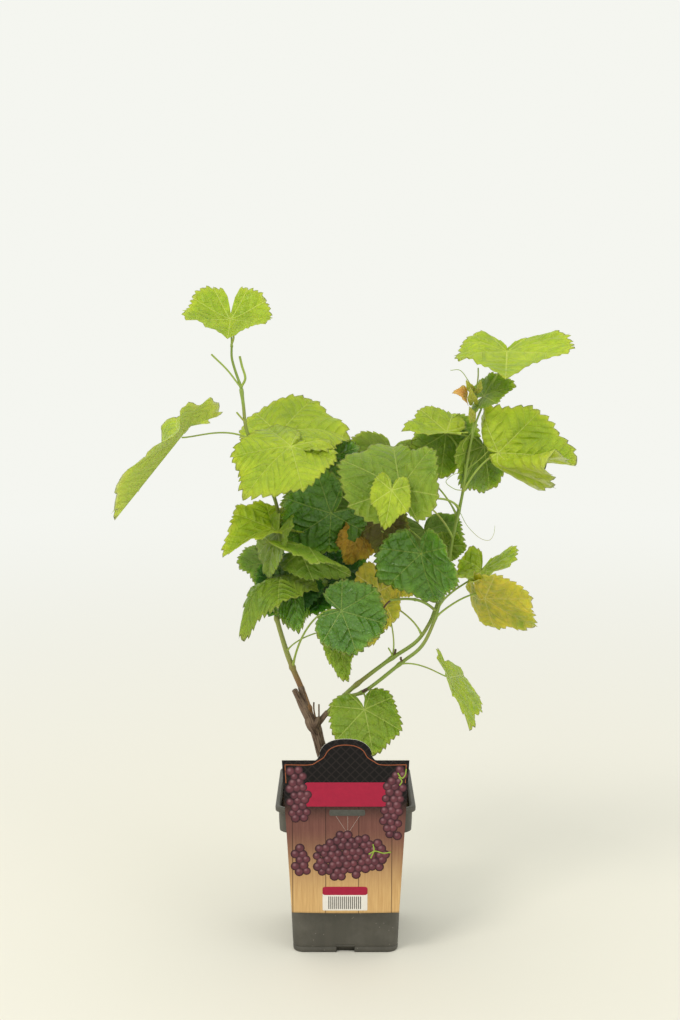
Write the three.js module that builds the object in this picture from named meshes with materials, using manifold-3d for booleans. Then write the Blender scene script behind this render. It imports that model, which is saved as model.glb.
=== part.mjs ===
// A young grapevine in a square nursery pot: a short old trunk with two arms, the green shoots
// that climb from them, one thin curved pad for each leaf mass, the soil, the pot and its picture card.
// Millimetres, +Z up, front towards -Y. The origin is the middle of the pot's flat underside.

import * as THREE from "three";
import { mergeVertices } from "three/addons/utils/BufferGeometryUtils.js";
import Module from "manifold-3d";

const wasm = await Module();
wasm.setup();

// ---- driving dimensions ----

const gap = 0.3; // air between pieces that touch

const pot = {
  height: 150,
  rimHalf: 67, // half the outer side of the lip
  rimDepth: 5,
  collarHalf: 64,
  collarHeight: 26, // lip and collar together
  wallTopHalf: 56,
  baseHalf: 51,
  wall: 1.5,
  floor: 8,
  cornerRadius: 11,
  cornerSteps: 4,
  notchWidth: 18, // drain notch at the foot of each side
  notchHeight: 5,
  notchDepth: 5,
};

const soilTop = 143;
const soilHumps = [2.2, -1.6, 1.1]; // how far each ring of the soil's top stands proud or hollow

const card = {
  topHalf: 60,
  bottomHalf: 51.5,
  height: 153.4,
  bottomZ: 45.5,
  bottomY: -61.5,
  lean: 3.6, // degrees that its top leans forward
  thickness: 1,
  archHalf: 24.5,
  archRise: 21,
  shoulderRise: 5,
  shoulderHalf: 29,
  bowDrop: 1.5, // sag of its bottom edge
};

// Each limb: its route from the foot to the end, and its radius at both ends.
const limbs = {
  trunk: {
    from: 5.8, to: 5.4, bark: "oldBark", flare: 2.4,
    route: [[-12, 6, soilTop + gap], [-18, 5, 160], [-24, 4, 180], [-33, 0, 216]],
  },
  old_stub: {
    from: 3.4, to: 2.8, bark: "oldBark",
    route: [[-33.5, 0, 219], [-44, -3, 237], [-50, -4, 249]],
  },
  left_arm: {
    from: 3.3, to: 2.3, bark: "youngBark",
    route: [[-33, 0, 219], [-43, 2, 248], [-51, 3, 267], [-57, 3, 283], [-63, 2, 303], [-68, 0, 322]],
  },
  left_spur: {
    from: 2.2, to: 1.8, bark: "greenStem",
    route: [[-68, 0, 323], [-69.5, -2, 329], [-71, -3, 335]],
  },
  left_shoot: {
    from: 2, to: 1.7, bark: "greenStem",
    route: [
      [-66, 1, 323], [-64, 7, 337], [-61, 9, 361], [-63, 8, 397], [-66, 4, 427], [-75, -1, 456],
      [-86, -5, 484], [-95, -6, 505], [-98, -4, 529], [-100, -2, 544],
    ],
  },
  left_shoot_tip: {
    from: 1.5, to: 1.1, bark: "greenStem",
    route: [[-100, -2, 545], [-106, -2, 562], [-109, -2, 574], [-109, -2, 586]],
  },
  right_arm: {
    from: 2.5, to: 1.7, bark: "greenStem",
    route: [
      [-28, -1, 214], [-15, -2, 229], [3, -4, 248], [41, -3, 278], [70, 2, 297], [83, 7, 315],
      [90, 10, 332], [94, 12, 356],
    ],
  },
  right_shoot_lower: {
    from: 1.9, to: 1.8, bark: "greenStem",
    route: [
      [2, -7, 244], [6, -10, 245], [17, -12, 249], [55, -10, 278], [74, -7, 293], [85, -3, 313],
      [92, 0, 334],
    ],
  },
  right_shoot_upper: {
    from: 1.9, to: 1.2, bark: "greenStem",
    route: [
      [93, 0, 336], [99, 2, 363], [105, 2, 402], [113, 0, 440], [118, -2, 477], [123, -2, 506],
      [125, -2, 528], [127, -2, 548],
    ],
  },
  side_shoot: {
    from: 1.5, to: 1.2, bark: "greenStem",
    route: [[88, -1, 328], [81, -4, 334], [72, -8, 339], [60, -10, 341], [43, -12, 340]],
  },
};
const limbSides = 8;
const limbStep = 16; // length of one tube segment

// Each mass of foliage is a leaf-shaped pad. stalk is where the leaf stalk joins it and tip its point.
// turn and lift give the way its upper side faces, in degrees: turn from the front towards +X, lift
// above the level. fold raises both halves about the midrib, arch humps the midrib, side curls the
// margins down and lean makes one half wider, all as shares of the length from stalk to tip.
const foliage = {
  top_left: {
    stalk: [-110, 0, 610], tip: [-109, -51, 590], tint: "bright",
    turn: 7, lift: 71, fold: 19, arch: -0.03, lean: 0.06,
  },
  far_left: {
    stalk: [-157, -10, 498], tip: [-212, -48, 421], tint: "bright",
    turn: -80, lift: 22, wide: 0.86, fold: 15, arch: 0.01,
  },
  left_front: {
    stalk: [-51, -45, 492], tip: [-93, -95, 448], tint: "bright",
    turn: -12, lift: 30, wide: 0.72, fold: -12, arch: 0.07, lean: -0.02,
  },
  left_crown: {
    stalk: [-64, 8, 501], tip: [7, 24, 495], tint: "bright",
    turn: 0, lift: 62, wide: 0.98, fold: 8, arch: 0.12, lean: 0.05,
  },
  left_inner: {
    stalk: [-19, 22, 472], tip: [13, 17, 487], tint: "deep",
    turn: 0, lift: 45, wide: 1.1, fold: 3,
  },
  centre_left: {
    stalk: [-14, -15, 426], tip: [-59, -6, 398], tint: "deep",
    turn: 19, lift: -13, wide: 1.06, fold: -2, arch: 0.06, lean: 0.06,
  },
  centre_top: {
    stalk: [50, -50, 453], tip: [45, 3, 490], tint: "mid",
    turn: -5, lift: 31, wide: 0.96, fold: 13, arch: 0.12, lean: -0.2,
  },
  centre_bright: {
    stalk: [42, -70, 453], tip: [35, -89, 419], tint: "bright",
    turn: 4, lift: 10, wide: 0.62, fold: 12, arch: 0.08,
  },
  centre_bronze: {
    stalk: [37, 18, 415], tip: [35, 10, 380], tint: "bronze",
    turn: -2, lift: 17, fold: 20, arch: 0.07,
  },
  centre_rusty: {
    stalk: [14, 8, 404], tip: [-1, 9, 373], tint: "rust",
    turn: 40, lift: -10, fold: 5, arch: 0.06,
  },
  centre_right: {
    stalk: [71, -45, 390], tip: [87, -32, 342], tint: "deep",
    turn: -39, lift: 18, wide: 1.15, fold: 20, arch: 0.06,
  },
  right_small: {
    stalk: [99, 12, 391], tip: [120, 10, 390], tint: "mid",
    turn: 3, lift: -20, fold: 10, arch: 0.06,
  },
  centre_olive: {
    stalk: [53, 15, 353], tip: [26, 17, 347], tint: "yellow",
    turn: 0, lift: 45, fold: 4,
  },
  right_saddle: {
    stalk: [134, 10, 368], tip: [119, -37, 366], tint: "bright",
    turn: 0, lift: 79, wide: 0.93, fold: 28, arch: -0.1, lean: -0.12,
  },
  right_yellow: {
    stalk: [135, -10, 341], tip: [185, -5, 312], tint: "yellow",
    turn: -60, lift: -7, fold: 4, arch: 0.02, lean: -0.15,
  },
  right_hanging: {
    stalk: [102, -10, 263], tip: [119, -40, 219], tint: "bright",
    turn: 72, lift: 15, fold: 9, arch: 0.02, lean: -0.2,
  },
  low_heart: {
    stalk: [19, -36, 237], tip: [27, -58, 196], tint: "mid",
    turn: 7, lift: 22, wide: 0.98, fold: -15, arch: 0.06,
  },
  left_wing: {
    stalk: [-70, -9, 409], tip: [-114, -36, 387], tint: "bright",
    turn: -14, lift: 50, wide: 0.8, fold: 34, arch: 0.1,
  },
  left_pendant: {
    stalk: [-65, -25, 406], tip: [-73, -31, 363], tint: "mid",
    turn: -63, lift: 0, fold: 4,
  },
  left_curled: {
    stalk: [-43, -32, 391], tip: [1, -39, 371], tint: "pale",
    turn: 0, lift: 14, wide: 0.95, fold: 3, arch: 0.08, lean: -0.35,
  },
  left_drooping: {
    stalk: [-61, -30, 366], tip: [-102, -74, 324], tint: "mid",
    turn: -37, lift: 46, wide: 0.6, fold: -34, arch: 0.14,
  },
  left_recess: {
    stalk: [-52, -14, 360], tip: [-79, -22, 330], tint: "shade",
    turn: -20, lift: 16, wide: 1.1, fold: 6, arch: 0.06,
  },
  left_strip: {
    stalk: [-54, -28, 367], tip: [-45, -62, 318], tint: "deep",
    turn: 14, lift: 34, wide: 0.8, fold: -52, arch: 0.06,
  },
  dark_inner: {
    stalk: [-27, 10, 356], tip: [26, 22, 366], tint: "shade",
    turn: 0, lift: 62, wide: 1.15, fold: 4, arch: 0.06,
  },
  low_crinkled: {
    stalk: [-4, -50, 337], tip: [39, -36, 322], tint: "deep",
    turn: 0, lift: 6, fold: 18, lean: 0.07,
  },
  low_flap: {
    stalk: [-6, -36, 309], tip: [2, -42, 267], tint: "mid",
    turn: -26, lift: 1, wide: 0.5, fold: 22, arch: 0.07,
  },
  low_yellow: {
    stalk: [33, 0, 346], tip: [22, -4, 292], tint: "yellow",
    turn: 16, lift: 0, wide: 0.62, fold: 12, arch: 0.06, lean: 0.2,
  },
  top_right: {
    stalk: [154, 0, 578], tip: [147, -52, 553], tint: "bright",
    turn: 0, lift: 80, wide: 1.3, fold: 18, arch: 0, lean: -0.08,
  },
  right_shoot_leaf: {
    stalk: [134, 4, 537], tip: [163, -6, 545], tint: "mid",
    turn: 0, lift: 50, fold: 13, arch: 0.07,
  },
  right_wing: {
    stalk: [97, 6, 503], tip: [54, 4, 502], tint: "bright",
    turn: 0, lift: 72, fold: 20, arch: 0.03, lean: 0.1,
  },
  right_inner: {
    stalk: [98, 22, 499], tip: [93, 22, 454], tint: "mid",
    turn: -3, lift: 11, fold: -20, arch: 0.07,
  },
  far_right: {
    stalk: [148, -15, 483], tip: [226, 8, 474], tint: "bright",
    turn: 2, lift: 20, wide: 0.92, fold: 6, lean: 0.16,
  },
  right_back: {
    stalk: [136, 18, 487], tip: [145, 40, 443], tint: "mid",
    turn: 5, lift: 24, fold: 30, arch: 0.01, lean: 0.2,
  },
  back_top: {
    stalk: [45, 44, 478], tip: [36, 66, 430], tint: "mid",
    turn: 172, lift: 25, wide: 1.05, fold: 8, arch: 0.08,
  },
  back_upper_left: {
    stalk: [-48, 40, 486], tip: [-64, 62, 446], tint: "mid",
    turn: 190, lift: 28, fold: 10, arch: 0.08,
  },
  back_left: {
    stalk: [-26, 36, 432], tip: [-36, 58, 388], tint: "deep",
    turn: 186, lift: 22, fold: 8, arch: 0.07,
  },
  back_right: {
    stalk: [80, 40, 400], tip: [88, 62, 354], tint: "deep",
    turn: 168, lift: 24, fold: 8, arch: 0.07,
  },
  back_low: {
    stalk: [6, 34, 346], tip: [8, 56, 306], tint: "mid",
    turn: 180, lift: 24, fold: 10, arch: 0.07,
  },
  back_low_left: {
    stalk: [-70, 32, 372], tip: [-84, 54, 336], tint: "deep",
    turn: 194, lift: 26, fold: 10, arch: 0.08,
  },
};
const pad = {
  thickness: 4, // of a mass, front to back
  angles: 16,
  rings: [0.5, 1], // shares of the way out to the margin
  ridge: 0.08, // softness of the fold along the midrib
  curl: 0.05, // how far the margins curl down
};

const finish = {
  oldBark: { color: "#7b6654", roughness: 0.9 },
  youngBark: { color: "#8a6a45", roughness: 0.75 },
  greenStem: { color: "#8fa351", roughness: 0.6 },
  potPlastic: { color: "#4b4a44", roughness: 0.55 },
  soil: { color: "#3a2d22", roughness: 1 },
  card: { color: "#3a2226", roughness: 0.35 },
  bright: { color: "#a9c43f", roughness: 0.5 },
  pale: { color: "#a8b85c", roughness: 0.6 },
  mid: { color: "#7fa840", roughness: 0.5 },
  deep: { color: "#4c7a2c", roughness: 0.45 },
  shade: { color: "#2f5220", roughness: 0.5 },
  yellow: { color: "#bdb044", roughness: 0.55 },
  bronze: { color: "#5a4a26", roughness: 0.55 },
  rust: { color: "#b07a2c", roughness: 0.65 },
};

// ---- geometry helpers ----

// A closed skin over rings of equally many points, fanned shut on a middle point at both ends.
function loft(rings, first = centroid(rings[0]), last = centroid(rings.at(-1))) {
  const n = rings[0].length;
  const points = [...rings.flat(), first, last];
  const faces = [];
  for (let r = 0; r + 1 < rings.length; r++) {
    for (let i = 0; i < n; i++) {
      const [a, b] = [r * n + i, r * n + ((i + 1) % n)];
      faces.push([a, b, b + n], [a, b + n, a + n]);
    }
  }
  const [start, end, top] = [rings.length * n, rings.length * n + 1, (rings.length - 1) * n];
  for (let i = 0; i < n; i++) {
    const j = (i + 1) % n;
    faces.push([start, j, i], [end, top + i, top + j]);
  }
  const geometry = new THREE.BufferGeometry().setFromPoints(points);
  geometry.setIndex(faces.flat());
  return geometry;
}

function centroid(ring) {
  return ring.reduce((sum, p) => sum.add(p), new THREE.Vector3()).divideScalar(ring.length);
}

// The geometry as a manifold-3d solid, turned the right way round.
function solidOf(geometry) {
  const bare = geometry.clone();
  bare.deleteAttribute("normal");
  bare.deleteAttribute("uv");
  const merged = mergeVertices(bare, 1e-3);
  const vertProperties = merged.getAttribute("position").array;
  const triVerts = new Uint32Array(merged.getIndex().array);
  const build = () => new wasm.Manifold(new wasm.Mesh({ numProp: 3, vertProperties, triVerts }));
  const made = build();
  if (made.volume() > 0) return made;
  for (let i = 0; i < triVerts.length; i += 3) {
    [triVerts[i + 1], triVerts[i + 2]] = [triVerts[i + 2], triVerts[i + 1]];
  }
  return build();
}

function geometryOf(solid) {
  const { vertProperties, triVerts } = solid.getMesh();
  const geometry = new THREE.BufferGeometry();
  geometry.setAttribute("position", new THREE.BufferAttribute(vertProperties, 3));
  geometry.setIndex(new THREE.BufferAttribute(triVerts, 1));
  return geometry;
}

// The largest body of a solid: a cut can leave crumbs beside it.
function largest(solid) {
  return solid.decompose().reduce((a, b) => (b.volume() > a.volume() ? b : a));
}

// ---- pot, soil and card ----

// A square with round corners at height z, anticlockwise.
function squareRing(half, z, radius = pot.cornerRadius) {
  const ring = [];
  for (let corner = 0; corner < 4; corner++) {
    for (let k = 0; k <= pot.cornerSteps; k++) {
      const angle = ((corner + k / pot.cornerSteps) * Math.PI) / 2;
      const [sx, sy] = [[1, 1], [-1, 1], [-1, -1], [1, -1]][corner];
      const x = sx * (half - radius) + radius * Math.cos(angle);
      const y = sy * (half - radius) + radius * Math.sin(angle);
      ring.push(new THREE.Vector3(x, y, z));
    }
  }
  return ring;
}

// Half the side of the outer wall at height z, below the collar.
function wallHalf(z) {
  const top = pot.height - pot.collarHeight;
  return THREE.MathUtils.lerp(pot.baseHalf, pot.wallTopHalf, z / top);
}

function potSolid() {
  const { height, collarHeight, rimDepth, wall, floor, collarHalf, rimHalf } = pot;
  const ledge = height - collarHeight;
  const shell = solidOf(
    loft([
      squareRing(pot.baseHalf, 0),
      squareRing(wallHalf(ledge), ledge),
      squareRing(collarHalf - 1, ledge + 1),
      squareRing(collarHalf, height - rimDepth),
      squareRing(rimHalf, height - rimDepth),
      squareRing(rimHalf, height),
      squareRing(collarHalf - wall, height),
      squareRing(collarHalf - 1 - wall, ledge + 1 + wall),
      squareRing(wallHalf(ledge) - wall, ledge + wall),
      squareRing(wallHalf(floor) - wall, floor),
    ]),
  );
  return [0, 1, 2, 3].reduce((solid, side) => {
    const { notchWidth, notchHeight, notchDepth, baseHalf } = pot;
    const notch = new THREE.BoxGeometry(notchWidth, 2 * notchDepth, 2 * notchHeight);
    notch.translate(0, -baseHalf, 0);
    notch.rotateZ((side * Math.PI) / 2);
    return solid.subtract(solidOf(notch));
  }, shell);
}

// Fills the pot from its floor to an uneven top, with the air gap to the wall.
function soilSolid() {
  const ledge = pot.height - pot.collarHeight;
  const inset = pot.wall + gap;
  const outer = pot.collarHalf - 1 - inset;
  const humps = soilHumps.map((rise, k) => {
    const share = 1 - (k + 1) / (soilHumps.length + 1);
    const ring = squareRing(outer * share, soilTop - 3, pot.cornerRadius * share);
    ring.forEach((p, i) => (p.z += rise * Math.cos(i * 1.3 + k)));
    return ring;
  });
  return solidOf(
    loft([
      squareRing(wallHalf(pot.floor) - inset, pot.floor + gap),
      squareRing(wallHalf(ledge) - inset, ledge + pot.wall),
      squareRing(outer, ledge + pot.wall + 1 + gap),
      squareRing(outer, soilTop - 5),
      ...humps,
    ], undefined, new THREE.Vector3(0, 0, soilTop - 1)),
  );
}

// A tapered board with an arched head between two low shoulders, leaning on the pot's lip.
function cardSolid() {
  const { topHalf, bottomHalf, height, archHalf, archRise, shoulderHalf, shoulderRise, bowDrop } = card;
  const shape = new THREE.Shape();
  shape.moveTo(-bottomHalf, 0);
  shape.quadraticCurveTo(0, -bowDrop, bottomHalf, 0);
  shape.lineTo(topHalf, height);
  shape.lineTo(shoulderHalf, height);
  shape.quadraticCurveTo(archHalf, height, archHalf, height + shoulderRise);
  shape.quadraticCurveTo(archHalf * 0.9, height + archRise, 0, height + archRise);
  shape.quadraticCurveTo(-archHalf * 0.9, height + archRise, -archHalf, height + shoulderRise);
  shape.quadraticCurveTo(-archHalf, height, -shoulderHalf, height);
  shape.lineTo(-topHalf, height);
  const board = new THREE.ExtrudeGeometry(shape, {
    depth: card.thickness,
    bevelEnabled: false,
    curveSegments: 8,
  });
  board.rotateX(Math.PI / 2 + THREE.MathUtils.degToRad(card.lean));
  board.translate(0, card.bottomY, card.bottomZ);
  return solidOf(board);
}

// ---- limbs ----

// A round tapering tube along a smooth curve through the route, cut flat at both ends.
function limbSolid({ route, from, to, flare = 0 }, extra = 0) {
  const curve = new THREE.CatmullRomCurve3(route.map((p) => new THREE.Vector3(...p)));
  const steps = Math.max(3, Math.round(curve.getLength() / limbStep));
  const { normals, binormals } = curve.computeFrenetFrames(steps, false);
  const rings = [];
  for (let k = 0; k <= steps; k++) {
    const centre = curve.getPointAt(k / steps);
    const spread = flare * Math.max(0, 1 - (3 * k) / steps);
    const radius = THREE.MathUtils.lerp(from, to, k / steps) + spread + extra;
    const ring = [];
    for (let i = 0; i < limbSides; i++) {
      const angle = (2 * Math.PI * i) / limbSides;
      const p = centre.clone();
      p.addScaledVector(normals[k], radius * Math.cos(angle));
      p.addScaledVector(binormals[k], radius * Math.sin(angle));
      if (k === 0 && flare) p.z = centre.z;
      ring.push(p);
    }
    rings.push(ring);
  }
  return solidOf(loft(rings));
}

// ---- foliage ----

// The margin's distance from the stalk at an angle from the midrib, as a share of the length to
// the tip: a rounded body with a tip lobe, two pairs of side lobes and a notch at the stalk.
function margin(angle) {
  const degrees = Math.abs(THREE.MathUtils.radToDeg(angle));
  const bump = (at, width) => Math.exp(-(((degrees - at) / width) ** 2));
  const lobes = 0.64 + 0.36 * bump(0, 27) + 0.2 * bump(58, 26) + 0.1 * bump(112, 28);
  return lobes * (1 - 0.7 * bump(180, 20) - 0.22 * bump(180, 45));
}

// A pad along the bent blade: the point at (angle, share) is set out along the midrib and across
// it, then raised by fold, arch and curl, and moved half the thickness to each side.
function padSolid(leaf, extra = 0) {
  const { stalk, tip, turn, lift, wide = 1, fold = 0, arch = 0.05, lean = 0 } = leaf;
  const root = new THREE.Vector3(...stalk);
  const along = new THREE.Vector3(...tip).sub(root);
  const length = along.length();
  along.normalize();
  const [t, l] = [turn, lift].map(THREE.MathUtils.degToRad);
  const face = new THREE.Vector3(Math.sin(t) * Math.cos(l), -Math.cos(t) * Math.cos(l), Math.sin(l));
  face.addScaledVector(along, -face.dot(along)).normalize();
  const across = new THREE.Vector3().crossVectors(along, face);
  const bend = THREE.MathUtils.degToRad(fold);
  const half = pad.thickness / 2 + extra;

  const place = (angle, share, side) => {
    const reach = margin(angle) * share + (extra / length) * share;
    const x = reach * Math.sin(angle) * wide * (1 + lean * Math.sign(angle));
    const y = reach * Math.cos(angle);
    const ridge = Math.hypot(x, pad.ridge) - pad.ridge;
    const raised = ridge * Math.sin(bend) + arch * 4 * y * (1 - y) - pad.curl * x * x;
    return root
      .clone()
      .addScaledVector(across, length * x * Math.cos(bend))
      .addScaledVector(along, length * y)
      .addScaledVector(face, length * raised + side * half);
  };
  const ring = (share, side) => {
    const points = [];
    for (let i = 0; i < pad.angles; i++) {
      const angle = -Math.PI + ((i + 0.5) * 2 * Math.PI) / pad.angles;
      points.push(place(angle, share, side));
    }
    return points;
  };
  const under = pad.rings.map((share) => ring(share, -1));
  const upper = pad.rings.map((share) => ring(share, 1)).reverse();
  return solidOf(loft([...under, ...upper], place(0, 0, -1), place(0, 0, 1)));
}

// ---- assembly ----

const materials = Object.fromEntries(
  Object.entries(finish).map(([name, look]) => [name, new THREE.MeshStandardMaterial(look)]),
);
const group = new THREE.Group();
const taken = []; // each placed piece, grown by the gap, that later pieces keep clear of

function place(name, material, solid, grown) {
  const cut = taken.reduce((left, other) => left.subtract(other), solid);
  taken.push(grown);
  const mesh = new THREE.Mesh(geometryOf(largest(cut)), materials[material]);
  mesh.name = name;
  group.add(mesh);
}

const addPiece = (name, material, solid) => {
  const mesh = new THREE.Mesh(geometryOf(solid), materials[material]);
  mesh.name = name;
  group.add(mesh);
};
addPiece("pot", "potPlastic", potSolid());
addPiece("soil", "soil", soilSolid());
addPiece("picture_card", "card", cardSolid());
for (const [name, limb] of Object.entries(limbs)) {
  place(name, limb.bark, limbSolid(limb), limbSolid(limb, gap));
}
for (const [name, leaf] of Object.entries(foliage)) {
  place(`foliage_${name}`, leaf.tint, padSolid(leaf), padSolid(leaf, gap));
}

export default group;
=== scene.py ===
import math

import bpy
import numpy as np
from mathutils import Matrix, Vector


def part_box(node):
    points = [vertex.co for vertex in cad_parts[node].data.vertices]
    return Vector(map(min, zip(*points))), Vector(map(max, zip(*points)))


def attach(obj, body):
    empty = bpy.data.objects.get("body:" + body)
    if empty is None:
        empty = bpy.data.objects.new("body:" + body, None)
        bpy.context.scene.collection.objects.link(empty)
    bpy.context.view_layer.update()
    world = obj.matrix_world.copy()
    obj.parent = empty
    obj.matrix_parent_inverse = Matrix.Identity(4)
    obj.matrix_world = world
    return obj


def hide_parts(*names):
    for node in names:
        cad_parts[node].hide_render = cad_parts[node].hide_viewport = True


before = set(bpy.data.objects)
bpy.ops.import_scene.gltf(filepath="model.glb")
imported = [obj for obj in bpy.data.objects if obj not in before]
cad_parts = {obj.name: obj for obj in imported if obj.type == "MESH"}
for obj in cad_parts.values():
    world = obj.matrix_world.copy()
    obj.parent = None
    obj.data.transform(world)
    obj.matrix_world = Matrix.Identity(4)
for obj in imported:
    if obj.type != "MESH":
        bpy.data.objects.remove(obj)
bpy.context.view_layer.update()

mm = 0.001
print("frame: loaded,", len(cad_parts), "nodes")


def hexColour(code):
    # sRGB hex to the linear colour that shaders want: c/12.92 below 0.04045, else ((c+0.055)/1.055)^2.4
    values = [int(code[i : i + 2], 16) / 255 for i in (1, 3, 5)]
    return tuple(v / 12.92 if v <= 0.04045 else ((v + 0.055) / 1.055) ** 2.4 for v in values) + (1.0,)


def gridFaces(rows, columns, around=True):
    # Triangles of a grid whose point (r, c) is number r*columns + c; around joins the last column to
    # the first
    across = np.arange(columns if around else columns - 1)
    r, c = np.meshgrid(np.arange(rows - 1), across, indexing="ij")
    a = (r * columns + c).ravel()
    b = (r * columns + (c + 1) % columns).ravel()
    halves = [np.stack([a, b, b + columns], 1), np.stack([a, b + columns, a + columns], 1)]
    return np.concatenate(halves)


def fanFaces(ring, pole, turnedOver=False):
    # Triangles from a ring of point numbers to one pole
    after = np.roll(ring, -1)
    poles = np.full(len(ring), pole)
    return np.stack([after, ring, poles] if turnedOver else [ring, after, poles], 1)


def makeMesh(name, parts, materials, nodes=()):
    # Joins parts, each with points in mm, triangles and any of uv (per point), tile (per corner), wear
    # (per point) and which (material per triangle), into one smooth piece that rides on the body
    points, faces, which, start = [], [], [], 0
    for part in parts:
        points.append(part["points"])
        faces.append(part["faces"] + start)
        which.append(part.get("which", np.zeros(len(part["faces"]), int)))
        start += len(part["points"])
    points, faces, which = np.concatenate(points), np.concatenate(faces), np.concatenate(which)
    mesh = bpy.data.meshes.new(name)
    mesh.from_pydata(points * mm, [], faces)
    mesh.polygons.foreach_set("use_smooth", np.ones(len(faces), bool))
    mesh.polygons.foreach_set("material_index", which.astype(np.int32))
    if "uv" in parts[0]:
        uv = np.concatenate([part["uv"] for part in parts])[faces.ravel()]
        layer = mesh.uv_layers.new(name="skin")
        layer.uv.foreach_set("vector", uv.astype(np.float32).ravel())
    if "tile" in parts[0]:
        tile = np.concatenate([part["tile"] for part in parts])
        layer = mesh.uv_layers.new(name="OFBake")
        layer.uv.foreach_set("vector", tile.astype(np.float32).ravel())
    if "wear" in parts[0]:
        wear = np.concatenate([part["wear"] for part in parts])
        values = mesh.attributes.new("wear", "FLOAT", "POINT").data
        values.foreach_set("value", wear.astype(np.float32))
    for material in materials:
        mesh.materials.append(material)
    mesh.update()
    piece = bpy.data.objects.new(name, mesh)
    bpy.context.scene.collection.objects.link(piece)
    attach(piece, "root")
    if nodes:
        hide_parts(*nodes)
    return piece


def smoothStep(low, high, value):
    # t*t*(3-2t), where t runs from 0 to 1 between low and high
    t = np.clip((value - low) / (high - low), 0, 1)
    return t * t * (3 - 2 * t)


def smoothPath(route, count):
    # A Catmull-Rom curve through the route, with knots spaced by the square root of each step, at
    # count places equally far apart along it
    p = np.asarray(route, float)
    p = np.concatenate([[2 * p[0] - p[1]], p, [2 * p[-1] - p[-2]]])
    knots = np.concatenate([[0], np.cumsum(np.sqrt(np.linalg.norm(np.diff(p, axis=0), axis=1)))])
    fine = np.linspace(knots[1], knots[-2], 40 * len(p))
    i = np.clip(np.searchsorted(knots, fine, side="right") - 1, 1, len(p) - 3)
    t = fine[:, None]
    k = [knots[i + step][:, None] for step in (-1, 0, 1, 2)]
    q = [p[i + step] for step in (-1, 0, 1, 2)]
    blend = lambda a, b, x, y: ((y - t) * a + (t - x) * b) / (y - x)
    a1, a2, a3 = (blend(q[n], q[n + 1], k[n], k[n + 1]) for n in range(3))
    b1, b2 = blend(a1, a2, k[0], k[2]), blend(a2, a3, k[1], k[3])
    curve = blend(b1, b2, k[1], k[2])
    far = np.concatenate([[0], np.cumsum(np.linalg.norm(np.diff(curve, axis=0), axis=1))])
    even = np.linspace(0, far[-1], count)
    return np.stack([np.interp(even, far, curve[:, axis]) for axis in range(3)], 1)


def pathFrames(path):
    # Two directions square to the path at each point, carried along with no twist (double reflection)
    tangent = np.gradient(path, axis=0)
    tangent /= np.linalg.norm(tangent, axis=1, keepdims=True)
    start = np.cross(tangent[0], (0, 1, 0) if abs(tangent[0][1]) < 0.9 else (1, 0, 0))
    side = [start / np.linalg.norm(start)]
    for step in range(len(path) - 1):
        v = path[step + 1] - path[step]
        c = max(v @ v, 1e-9)
        s = side[-1] - 2 / c * (v @ side[-1]) * v
        t = tangent[step] - 2 / c * (v @ tangent[step]) * v
        w = tangent[step + 1] - t
        c = max(w @ w, 1e-9)
        side.append(s - 2 / c * (w @ s) * w)
    side = np.array(side)
    return tangent, side, np.cross(tangent, side)


def tube(path, radius, sides=10, relief=None, blunt=0.35):
    # A skin round the path: point = path + radius*(1+relief(around, along))*(side cos a + other sin a).
    # radius is one value for each path point, and both ends close in a low dome to a pole
    count = len(path)
    tangent, side, other = pathFrames(path)
    angle = np.linspace(0, 2 * math.pi, sides, endpoint=False)
    far = np.concatenate([[0], np.cumsum(np.linalg.norm(np.diff(path, axis=0), axis=1))])
    reach = np.broadcast_to(radius, count)[:, None] * np.ones(sides)
    if relief is not None:
        reach = reach * (1 + relief(angle[None, :], far[:, None]))
    ring = side[:, None] * np.cos(angle)[:, None] + other[:, None] * np.sin(angle)[:, None]
    body = path[:, None] + ring * reach[..., None]
    lip, rise = 0.72, 0.7  # the ends' extra rings, as shares of the radius and of the dome
    ends, poles = [], []
    for place, sign in ((0, -1), (-1, 1)):
        dome = sign * tangent[place] * reach[place].mean() * blunt
        ends.append(path[place] + dome * rise + ring[place] * reach[place][:, None] * lip)
        poles.append(path[place] + dome)
    points = np.concatenate([ends[0][None], body, ends[1][None]]).reshape(-1, 3)
    rows = count + 2
    faces = [gridFaces(rows, sides)]
    faces.append(fanFaces(np.arange(sides), rows * sides, turnedOver=True))
    faces.append(fanFaces(np.arange(sides) + (rows - 1) * sides, rows * sides + 1))
    around = np.abs(np.mod(angle / math.pi + 1, 2) - 1) * math.pi * reach.mean()
    along = np.concatenate([[far[0] - 1], far, [far[-1] + 1]])
    uv = np.stack(np.broadcast_arrays(around[None, :], along[:, None]), -1).reshape(-1, 2)
    uv = np.concatenate([uv, [[0, -2], [0, far[-1] + 2]]])
    return {"points": np.concatenate([points, poles]), "faces": np.concatenate(faces), "uv": uv / 100}


def outwards(part):
    # Turns a closed part's triangles over if its volume, the sum of a.(b x c)/6, comes out negative
    a, b, c = (part["points"][part["faces"][:, k]] for k in range(3))
    if np.einsum("ij,ij->i", a, np.cross(b, c)).sum() < 0:
        part["faces"] = part["faces"][:, ::-1].copy()
    return part


def nodeShift(node, points, most=2.0):
    # The small move that brings the points' box on to that node's box in the frame, middle to middle:
    # at most that many mm, since a mass's box shrinks where its neighbours cut it
    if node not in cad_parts:
        return np.zeros(3)
    low, high = (np.array(corner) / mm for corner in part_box(node))
    return np.clip((low + high) / 2 - (points.min(0) + points.max(0)) / 2, -most, most)


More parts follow.
